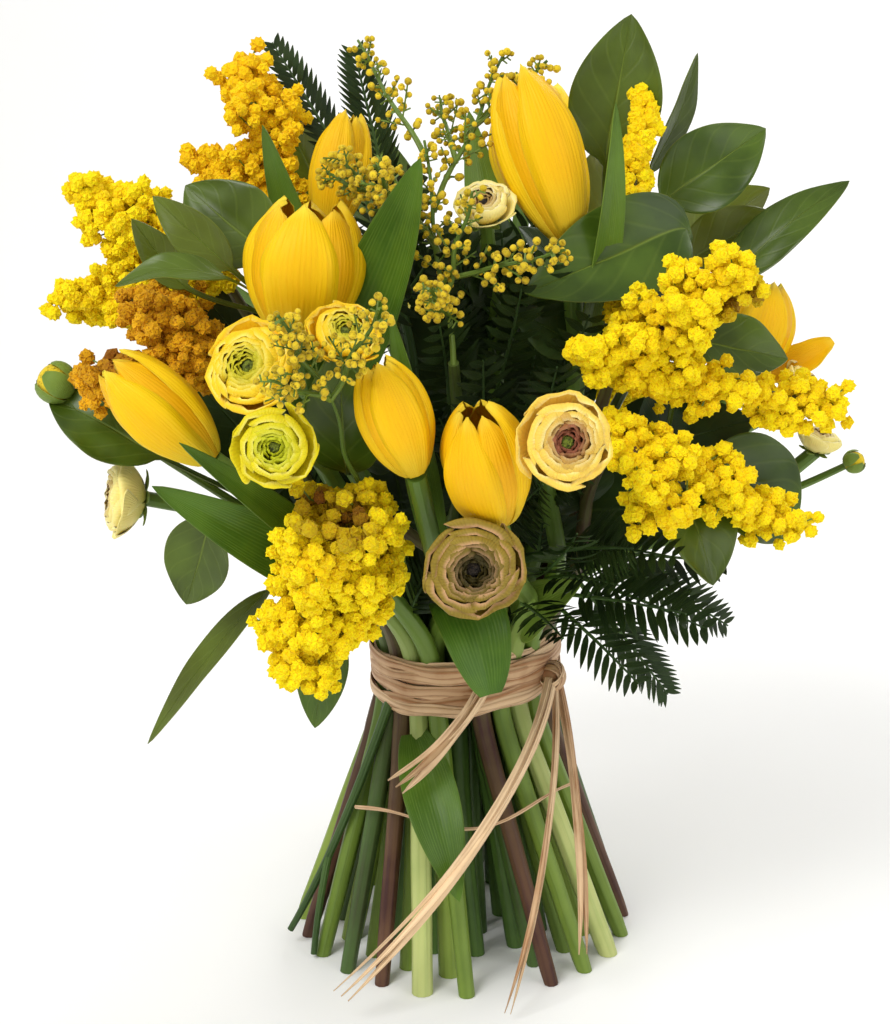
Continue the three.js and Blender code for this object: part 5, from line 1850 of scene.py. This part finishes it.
# ---- fronds and filling ----
@dataclass
class InnerFoliage(Maker):
    """What stands in the middle: the stems of the core, feathery fronds, and dark sprays that fill the crown."""

    bundle: Bundle
    rng: np.random.Generator
    pairs: int = 19  # of leaflets on a frond
    sprays: int = 148
    crown: Point = (0, -4, 268)  # the middle of the space that the sprays fill, and its reach each way
    reach: Point = (96, 88, 104)
    longest: float = 74.0  # of the sprays
    core_top: float = 161.0
    core_foot: float = 4.2  # the radius on the floor

    def core(self) -> Patches:
        """The short stems of the core that carry nothing.

        Yields:
            The stems.
        """
        taken = {stem.slot.azimuth for stem in self.bundle.stems.values() if stem.slot.radius == Ring.MIDDLE.value[0]}
        for ring in (Ring.CENTRE, Ring.HEART, Ring.MIDDLE):
            for k in range(ring.value[1]):
                slot = slot_at(ring, k)
                if ring is Ring.MIDDLE and slot.azimuth in taken:
                    continue
                z = np.array([0, 40, 80, 105, WAIST_LOW, 135, self.core_top])
                path = np.array([slot.at(h) for h in z])
                waist, sides = slot.diameter / 2, 12
                radius = np.interp(z, [0, WAIST_LOW, self.core_top], [self.core_foot, waist, waist - 0.8])
                made = tube(path, radius, SEAM, sides, self.draw(0, 0.7))
                made.points[:sides, 2] = 0
                yield made

    def frond(self, base: Array, tip: Array, width: float, face: Point, finish: int, pairs: int,
              lean: float = 0.75) -> Patches:
        """A frond: a thin midrib with narrow leaflets in pairs, longest below the middle.

        Args:
            base: Where it starts.
            tip: Where it ends.
            width: Its whole width.
            face: The direction that it faces.
            finish: The number of its finish.
            pairs: The number of pairs of leaflets.
            lean: How far the leaflets lean towards the tip.

        Yields:
            The midrib and the leaflets.
        """
        axis = tip - base
        length = np.linalg.norm(axis)
        out = square_to(axis, vec(face))
        across = np.cross(unit(axis), out)
        via = (base + tip) / 2 + out * 0.08 * length
        line = bezier(base, via, tip, np.linspace(0, 1, 12))
        yield tube(line, np.linspace(1.1, 0.4, 12), across, 6, 0.5, 0)
        for k in range(pairs):
            v = 0.12 + 0.84 * k / (pairs - 1)
            reach = width / 2 * np.sin(np.pi * v ** 0.8) ** 0.5 + 2
            foot = bezier(base, via, tip, np.array([v]))[0]
            for way in (-1, 1):
                end = (foot + across * way * reach + unit(axis) * reach * lean
                       + out * self.draw(-0.1, 0.25) * reach)
                leaf = Leaf(tuple(end), max(1.6, 0.66 * length / pairs), tuple(out), self.draw(-0.05, 0.12), 0.1)
                yield LeafShape(leaf, Outline.OVAL, rows=6, columns=3, thickness=0.4,
                                seed=self.draw(0, 9)).patch(foot, self.draw(0, 0.3), finish)

    def fronds(self) -> Patches:
        """The fronds on their own stems.

        Yields:
            Each stem and its frond.
        """
        for row in FRONDS:
            stem = self.bundle.stems[row.name]
            yield stem_tube(self.rng, stem, self.draw(0, 0.4))
            yield from self.frond(vec(row.base), vec(row.tip), row.width, (0, -0.9, 0.5), 1, self.pairs,
                                  1.3 if row.width < 20 else 0.8)

    def filling(self) -> Patches:
        """Dark sprays inside the crown: each starts on the stem that passes nearest below its tip.

        Yields:
            The sprays, the broad leaves behind the middle, and the sprays in front.
        """
        marks = np.array([stem.along(t) for stem in self.bundle.stems.values() for t in np.linspace(0.08, 0.85, 20)])
        for k in range(self.sprays):
            way = self.rng.normal(size=3)
            tip = unit(way) * self.draw(0.3, 1.0) ** 0.5 * self.reach + self.crown
            below = marks[marks[:, 2] < tip[2] - 16]
            if not len(below):
                continue
            gap = np.linalg.norm((below - tip) * [1, 1, 0.55], axis=1)
            base = below[int(np.argmin(gap))]
            tip = base + (tip - base) * min(1.0, self.longest / np.linalg.norm(tip - base))
            face = unit(np.array([base[0], base[1] - 60, 60]) + self.rng.normal(0, 25, 3))
            if k % 3:
                yield from self.frond(base, tip, self.draw(22, 38), tuple(face), 1, 7)
            else:
                leaf = Leaf(tuple(tip), self.draw(22, 34), tuple(face), 0.1, 0.2)
                yield LeafShape(leaf, Outline.OVAL, rows=16, columns=9, waves=0.06,
                                seed=self.draw(0, 9)).patch(base, self.draw(0, 0.3), 1)
        for foot, tip in BACKING:
            leaf = Leaf(tip, self.draw(38, 46), (0, -0.9, 0.3), 0.05, 0.15)
            yield LeafShape(leaf, Outline.OVAL, rows=18, columns=9, waves=0.05, seed=tip[0]).patch(vec(foot), 0.3, 1)
        for base, tip in LOW_SPRAYS + MIDDLE_SPRAYS:
            yield from self.frond(vec(base), vec(tip), self.draw(22, 32), (0.2, -0.8, 0.5), 1, 11)

    def forked(self) -> Patches:
        """A thin forked twig at the left, that leaves the raffia and ends above the floor.

        Yields:
            The twig and its side twig.
        """
        t = np.linspace(0, 1, 14)
        main = bezier(vec((-33, -24, 130)), vec((-60, -28, 50)), vec((-84, -31, 8)), t)
        tip = vec((-72, -44, 2))
        fork = bezier(main[8], lerp(main[8], tip, 0.5) + [-1.5, -2, 0], tip, t)
        yield tube(main, np.linspace(2.5, 1.6, 14), vec((0, 1, 0)), 8, 0.8)
        yield tube(fork, np.linspace(1.8, 1.5, 14), vec((0, 1, 0)), 8, 0.8)

    def patches(self) -> Patches:
        """All that stands in the middle."""
        yield from (patch for part in (self.core, self.forked, self.fronds, self.filling) for patch in part())


# ---- the tie ----
@dataclass(frozen=True)
class End:
    """A loose end of the raffia: where it starts, the point it curves by, where it ends and its width."""

    start: Point
    via: Point
    tip: Point
    width: float


RAFFIA_ENDS = (
    End((40, -30, 136), (28, -82, 92), (-56, -104, 14), 6.6),
    End((42, -28, 132), (44, -76, 84), (18, -102, 4), 3.0),
    End((44, -24, 132), (54, -60, 90), (52, -92, 28), 4.2),
    End((9.6, -43.4, 140), (-2, -62, 122), (-32, -70, 100), 7.5),
)


@dataclass
class RaffiaTie(Maker):
    """The raffia: flat strands wound many times round the waist, a knot with wrapped turns, and loose split ends."""

    rng: np.random.Generator
    radius: float = 42.4
    strands: int = 13
    height: float = 23.0
    tilt: float = 0.11
    slant: float = 3.8
    layer: float = 0.7  # how much further out each of four strands lies
    widths: tuple[float, float] = (1.8, 3.1)
    knot: Point = (41, -25, 136)
    knot_radius: float = 7.0
    knot_wraps: int = 9

    def turn(self, k: int) -> Patch:
        """One turn round the waist: a flat strand that climbs a little and lies on those below it.

        Args:
            k: Its number, from the lowest.

        Returns:
            The strand.
        """
        t = np.linspace(0, 1, 73)
        start = self.draw(0, TURN)
        a = start + TURN * 1.01 * t
        level = WAIST_Z - self.height / 2 + self.height * (k + 0.5) / self.strands + self.draw(-1.2, 1.2)
        slant = self.draw(-self.slant, self.slant)
        r = self.radius + 0.4 + self.layer * (k % 4) + 0.25 * np.sin(5 * a + k) + 0.4 * t
        z = level + slant * np.sin(a + k) + self.tilt * r * np.cos(a) + 0.5 * np.sin(9 * a + 2 * k)
        width = self.draw(*self.widths) * (1 + 0.18 * np.sin(7 * a + 3 * k))
        return tube(polar(a, r, z), width, vec((0, 0, 1)), 8, self.draw(0, 1), flat=0.2)

    def knot_turns(self) -> Patches:
        """The knot: a wad of strands, and turns wrapped over it in three directions.

        Yields:
            The wad, then each turn.
        """
        at = vec(self.knot)
        out = unit(at * [1, 1, 0])
        side = np.cross((0, 0, 1), out)
        yield balls(at[None] - out, np.array([self.knot_radius * 0.72]), self.rng, round_ball(2), 0.05,
                    np.array([0.8]))
        t = np.linspace(0, 1, 33)
        for k in range(self.knot_wraps):
            lean = self.draw(-0.7, 0.7) + (0 if k % 3 else 1.5)
            one = unit(np.array([0, 0, 1]) * np.cos(lean) + side * np.sin(lean))
            shift = np.cross(out, one) * self.draw(-3.2, 3.2)
            a = self.draw(0, TURN) + TURN * 1.01 * t[:, None]
            r = self.knot_radius * self.draw(0.74, 0.98)
            path = at + shift + one * r * np.cos(a) + out * r * 0.86 * np.sin(a)
            yield tube(path, np.full(33, self.draw(1.2, 2.1)), np.cross(out, one), 7,
                       self.draw(0, 1), flat=0.3)

    def loose(self, end: End) -> Patches:
        """A loose end: two or three strands side by side that part towards the tip, twisting a little.

        Args:
            end: The loose end.

        Yields:
            Its strands.
        """
        start, via, tip = vec(end.start), vec(end.via), vec(end.tip)
        t = np.linspace(0, 1, 40)
        line = bezier(start, via, tip, t)
        way = unit(tip - start)
        face = square_to(way, vec((0.2, -0.9, 0.3)))
        across = np.cross(way, face)
        count = 3 if end.width > 5 else 2
        for k in range(count):
            offset = (k - (count - 1) / 2) / count
            part = end.width * offset * (0.8 + 0.7 * t ** 3)[:, None] * across
            wave = (0.9 * np.sin(7 * t + 2 * k) * t)[:, None] * face + (0.7 * np.sin(5 * t + k) * t)[:, None] * across
            twist = 0.7 * np.sin(3 * t + 2 * k + self.draw(0, 2))[:, None]
            side = across * np.cos(twist) + face * np.sin(twist)
            width = end.width / count * 0.78 * (1 + 0.15 * np.sin(11 * t + k)) * np.clip(1.05 - t ** 12, 0.2, 1)
            yield tube(line + part + wave, width, side, 7, self.draw(0, 0.8), flat=0.18)

    def twine(self) -> Patches:
        """A thin strand that has slipped down and crosses the stems in front.

        Yields:
            The strand.
        """
        t = np.linspace(0, 1, 60)
        a = lerp(-2.55, -0.45, t)
        z = 74 + 9 * t + 3 * np.sin(3 * np.pi * t)
        r = (self.radius + 1.6) * (1 + (FOOT_SPREAD - 1) * (WAIST_LOW - z) / WAIST_LOW)
        yield tube(polar(a, r, z), 0.9 + 0.15 * np.sin(20 * t), vec((0, 0, 1)), 6, 0.5, flat=0.6)

    def patches(self) -> Patches:
        """The whole tie.

        Yields:
            The turns, the knot, the loose ends and the strand that has slipped.
        """
        yield from (self.turn(k) for k in range(self.strands))
        yield from self.knot_turns()
        for end in RAFFIA_ENDS:
            yield from self.loose(end)
        yield from self.twine()


# ---- the studio ----
@dataclass(frozen=True)
class Studio:
    """A pale floor that curves up behind, soft light from three sides, and the camera at the photo's angle."""

    reach: float = 3.0
    rise: float = 2.4
    bend: float = 0.8  # the radius of the curve between the floor and the back
    aim: Point = (0, 0, 0.22)  # where the lights look
    focal: float = 70.3
    eye: Point = (-0.0095, -0.9, 0.47)  # where the camera stands
    pitch: float = 16.2  # degrees that the camera looks down

    def floor(self) -> None:
        """The floor and the back as one sheet, declared as stage."""
        turn = np.linspace(0, np.pi / 2, 13)
        y = np.concatenate([[-self.reach], 1.2 + self.bend * np.sin(turn), [1.2 + self.bend]])
        z = np.concatenate([[0], self.bend - self.bend * np.cos(turn), [self.rise]]) - 0.0002
        points = np.array([(x, b, c) for x in (-self.reach, self.reach) for b, c in zip(y, z)])
        n = len(y)
        mesh = bpy.data.meshes.new("floor")
        mesh.from_pydata(points.tolist(), [], [(i, i + 1, n + i + 1, n + i) for i in range(n - 1)])
        mesh.polygons.foreach_set("use_smooth", np.ones(n - 1, bool))
        mesh.flip_normals()
        material, graph = new_material("pale floor")
        shader(graph, paint((250, 250, 249)), 0.7)
        mesh.materials.append(material)
        put("floor", mesh)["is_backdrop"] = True

    def light(self, name: str, place: Point, size: float, power: float) -> None:
        """A soft square light that looks at the bunch.

        Args:
            name: Its name.
            place: Where it hangs, in metres.
            size: The length of its side.
            power: Its power in watts.
        """
        lamp = bpy.data.lights.new(name, "AREA")
        lamp.shape, lamp.size, lamp.energy = "SQUARE", size, power
        holder = put(name, lamp)
        holder.location = place
        holder.rotation_euler = (Vector(self.aim) - Vector(place)).to_track_quat("-Z", "Y").to_euler()

    def build(self) -> None:
        """Everything but the bunch."""
        scene = bpy.context.scene
        self.floor()
        scene.world = bpy.data.worlds.new("soft light")
        scene.world.use_nodes = True
        sky = scene.world.node_tree.nodes["Background"]
        sky.inputs["Color"].default_value = (1.0, 0.99, 0.97, 1.0)
        sky.inputs["Strength"].default_value = 0.55
        self.light("key", (-1.1, -1.3, 1.9), 1.1, 34)
        self.light("fill", (1.5, -1.0, 0.9), 1.4, 9)
        self.light("back", (0.7, 1.3, 1.6), 1.0, 14)
        scene.view_settings.view_transform = "Standard"
        lens = bpy.data.cameras.new("camera")
        lens.lens, lens.sensor_width, lens.sensor_fit = self.focal, 36, "AUTO"
        lens.clip_start, lens.clip_end = 0.05, 20
        camera = put("camera", lens)
        camera.location = self.eye
        camera.rotation_euler = (np.radians(90 - self.pitch), 0, 0)
        scene.camera = camera


# ---- the bunch ----
# the fourth colour of each petal finish is a deeper tone along the middle and on the veins, partly real and partly
# painted shade
TULIP_PETAL = PetalFinish("tulip petal", (224, 200, 44), (244, 206, 8), (253, 226, 64), (238, 172, 6), (234, 154, 4),
                          0.42, 0.2)
BUTTER = PetalFinish("butter petal", (226, 206, 60), (250, 210, 36), (253, 230, 112), (244, 190, 20), (206, 196, 44),
                     0.3, 0.15, rough=0.46)
LIME = PetalFinish("lime petal", (196, 200, 40), (230, 214, 30), (240, 228, 108), (214, 196, 20), (196, 200, 30),
                   0.35, 0.2, rough=0.46)
BLUSH = PetalFinish("blush petal", (226, 206, 90), (248, 214, 92), (252, 232, 152), (240, 190, 70), (150, 88, 62),
                    0.25, 0.15, rough=0.46)
BRONZE = PetalFinish("bronze petal", (104, 96, 30), (152, 130, 46), (206, 160, 118), (112, 90, 26), (60, 52, 18),
                     0.4, 0.35, rough=0.5)
CREAM = PetalFinish("cream petal", (216, 210, 110), (248, 234, 150), (254, 246, 200), (240, 216, 110), (190, 156, 92),
                    0.25, 0.15, rough=0.46)
# the upper colours of the tulip and ranunculus stems are darkened as painted shade inside the crown
TULIP_STEM = StemFinish("tulip stem", (142, 164, 66), (84, 112, 38), (82, 112, 34))
PALE_STEM = StemFinish("pale stem", (196, 202, 128), (112, 138, 56), (128, 156, 70))
SOFT_STEM = StemFinish("ranunculus stem", (118, 142, 50), (100, 130, 44), (72, 98, 30), count=7)
WOODY_STEM = StemFinish("woody stem", (104, 72, 46), (96, 100, 44), (62, 30, 24), (190, 168, 112), 0.75, 6, 0.55)
BRANCH_STEM = StemFinish("leafy stem", (70, 98, 40), (86, 106, 40), (54, 58, 28), (186, 186, 118), 0.5, 6, 0.5)
CORE_STEM = StemFinish("core stem", (90, 124, 50), (56, 84, 34), (48, 74, 28), streaks=0.5)
TULIP_LEAF = LeafFinish("tulip leaf", (84, 122, 30), (58, 94, 20), (124, 154, 66), (140, 160, 60), Veins.PARALLEL, 0.4,
                        0.1)
GLOSSY_LEAF = LeafFinish("glossy leaf", (72, 98, 22), (42, 66, 10), (126, 146, 56), (120, 122, 28), Veins.NETTED,
                         0.34, 0.2)
SOFT_LEAF = LeafFinish("sepal", (124, 152, 58), (92, 124, 42), (140, 164, 80), (154, 164, 66), Veins.PARALLEL, 0.5, 0.0)
DARK_LEAF = LeafFinish("dark foliage", (38, 60, 20), (18, 34, 10), (70, 92, 36), (64, 82, 26), Veins.NETTED, 0.45, 0.05)
# mimosa: the tip colour, the darker colour that paints the shade between stamens and deep in a sprig, and the dried
# colour
LEMON = FluffFinish("lemon mimosa", (255, 234, 18), (232, 180, 2), (104, 40, 12))
GOLD = FluffFinish("golden mimosa", (252, 214, 18), (224, 164, 6), (128, 70, 24))
OCHRE = FluffFinish("ochre mimosa", (240, 182, 26), (146, 84, 8), (128, 70, 24))
BUDS = FluffFinish("mimosa bud", (236, 206, 44), (142, 118, 22), (110, 92, 44), 700.0, 0.1)
PIT = FluffFinish("ranunculus eye", (128, 140, 44), (60, 66, 24), (40, 36, 24), 500.0, 0.1)
DARK_PIT = FluffFinish("dark eye", (56, 46, 34), (24, 20, 18), (30, 26, 20), 500.0, 0.1)
STAMEN = FluffFinish("stamen", (92, 72, 34), (52, 40, 22), (40, 30, 20), 700.0, 0.1)
RAFFIA = FibreFinish("raffia", (244, 212, 168), (162, 112, 68))

# each tone's finishes and the name of a slot, which is passed on but not used
TONES = {Tone.BUTTER: (BUTTER, PIT, "ranunculus_petal"), Tone.LIME: (LIME, PIT, "ranunculus_lemon"),
         Tone.BLUSH: (BLUSH, PIT, "ranunculus_petal"), Tone.BRONZE: (BRONZE, DARK_PIT, "ranunculus_bronze"),
         Tone.CREAM: (CREAM, DARK_PIT, "ranunculus_petal")}
FLUFFS = {Fluff.LEMON: (LEMON, "mimosa_yellow"), Fluff.GOLD: (GOLD, "mimosa_ochre"),
          Fluff.OCHRE: (OCHRE, "mimosa_ochre"), Fluff.BUD: (BUDS, "mimosa_bud")}
PALE = ("tulip_4", "tulip_7", "tulip_6")  # the tulips with pale stems
# the middles of dried brown spots
DRIED = {"mimosa_1": ((-60, -138, 250), (-48, -138, 244)), "mimosa_2": ((112, -100, 325),),
         "mimosa_5": ((-150, -80, 300),)}
OPEN = {"mimosa_2": (0.2, -0.1), "mimosa_3": (0.22, -0.05), "mimosa_6": (0.05, -0.4)}  # sprigs with more gaps


@dataclass
class Bunch:
    """The whole bunch: it lays the stems, then makes every flower, branch and strand."""

    seed: int = 20
    bundle: Bundle = field(default_factory=Bundle)
    ready: dict[str, Material] = field(default_factory=dict)

    def finish(self, look: Look) -> Material:
        """A finish's material, made once."""
        self.ready[look.name] = self.ready.get(look.name) or look.make()
        return self.ready[look.name]

    def finishes(self, *looks: Look) -> Finishes:
        """The materials of several finishes."""
        return tuple(self.finish(look) for look in looks)

    def draws(self, name: str) -> np.random.Generator:
        """A stream of draws of an item's own, so that a change to one leaves the others as they are."""
        return np.random.default_rng([self.seed, *name.encode()])

    def tulips(self) -> None:
        """The tulips: blooms and stems with leaves."""
        for row in TULIPS:
            TulipBloom(row, self.draws(row.name)).make(
                f"{row.name}_petals", self.finishes(TULIP_PETAL, SOFT_LEAF, STAMEN), "tulip_petal", f"{row.name}_bloom")
            look = PALE_STEM if row.name in PALE else TULIP_STEM
            LeafyPiece(self.bundle.stems[row.name], row.leaves, self.draws(row.name + "s"), Outline.LANCE).make(
                f"{row.name}_greens", self.finishes(look, TULIP_LEAF), "stem_green", f"{row.name}_stem")

    def ranunculus(self) -> None:
        """The ranunculus: heads, and stems with a bud or a leaf."""
        for row in RANUNCULUS:
            petal, pit, slot = TONES[row.tone]
            RanunculusBloom(row, self.draws(row.name)).make(
                f"{row.name}_head", self.finishes(petal, pit, SOFT_LEAF), slot, f"{row.name}_bloom")
            stem, rng = self.bundle.stems[row.name], self.draws(row.name + "s")
            bud = list(side_bud(stem, vec(row.bud[0]), row.bud[1], rng)) if row.bud else ()
            LeafyPiece(stem, (row.leaf,) if row.leaf else (), rng, extra=bud).make(
                f"{row.name}_greens", self.finishes(SOFT_STEM, GLOSSY_LEAF if row.leaf else SOFT_LEAF, BUDS),
                "stem_green", f"{row.name}_stem")

    def mimosa(self) -> None:
        """The mimosa branches."""
        for row in MIMOSAS:
            fluff, slot = FLUFFS[row.tone]
            bark = BRANCH_STEM if row.tone is Fluff.BUD else WOODY_STEM
            MimosaPiece(row, self.bundle.stems[row.name], self.draws(row.name), OPEN.get(row.name, DENSE),
                        DRIED.get(row.name, ())).make(
                f"{row.name}_sprigs", self.finishes(bark, fluff, BUDS, SOFT_STEM), slot, row.name)

    def branches(self) -> None:
        """The leafy branches."""
        for row in LEAFY:
            LeafyPiece(self.bundle.stems[row.name], row.leaves, self.draws(row.name), knots=5).make(
                f"{row.name}_leaves", self.finishes(BRANCH_STEM, GLOSSY_LEAF), "branch_green", row.name)

    def build(self) -> None:
        """Everything."""
        self.bundle.lay()
        self.tulips()
        self.ranunculus()
        self.mimosa()
        self.branches()
        InnerFoliage(self.bundle, self.draws("inner")).make(
            "foliage_inside", self.finishes(CORE_STEM, DARK_LEAF), "dark_foliage", "inner_foliage")
        RaffiaTie(self.draws("raffia")).make("raffia_strands", self.finishes(RAFFIA), "raffia", "raffia_tie")


def main() -> None:
    """Makes the bunch and the studio."""
    global GROUPS
    logging.basicConfig(level=logging.INFO, format="%(message)s")
    GROUPS = Groups()
    Bunch().build()
    Studio().build()
    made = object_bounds()
    for label, box in (("CAD", CAD_BOX), ("visual", made)):
        LOG.info("%s box in mm: %s", label, [[round(1000 * c, 1) for c in corner] for corner in box])


if __name__ == "__main__":
    main()
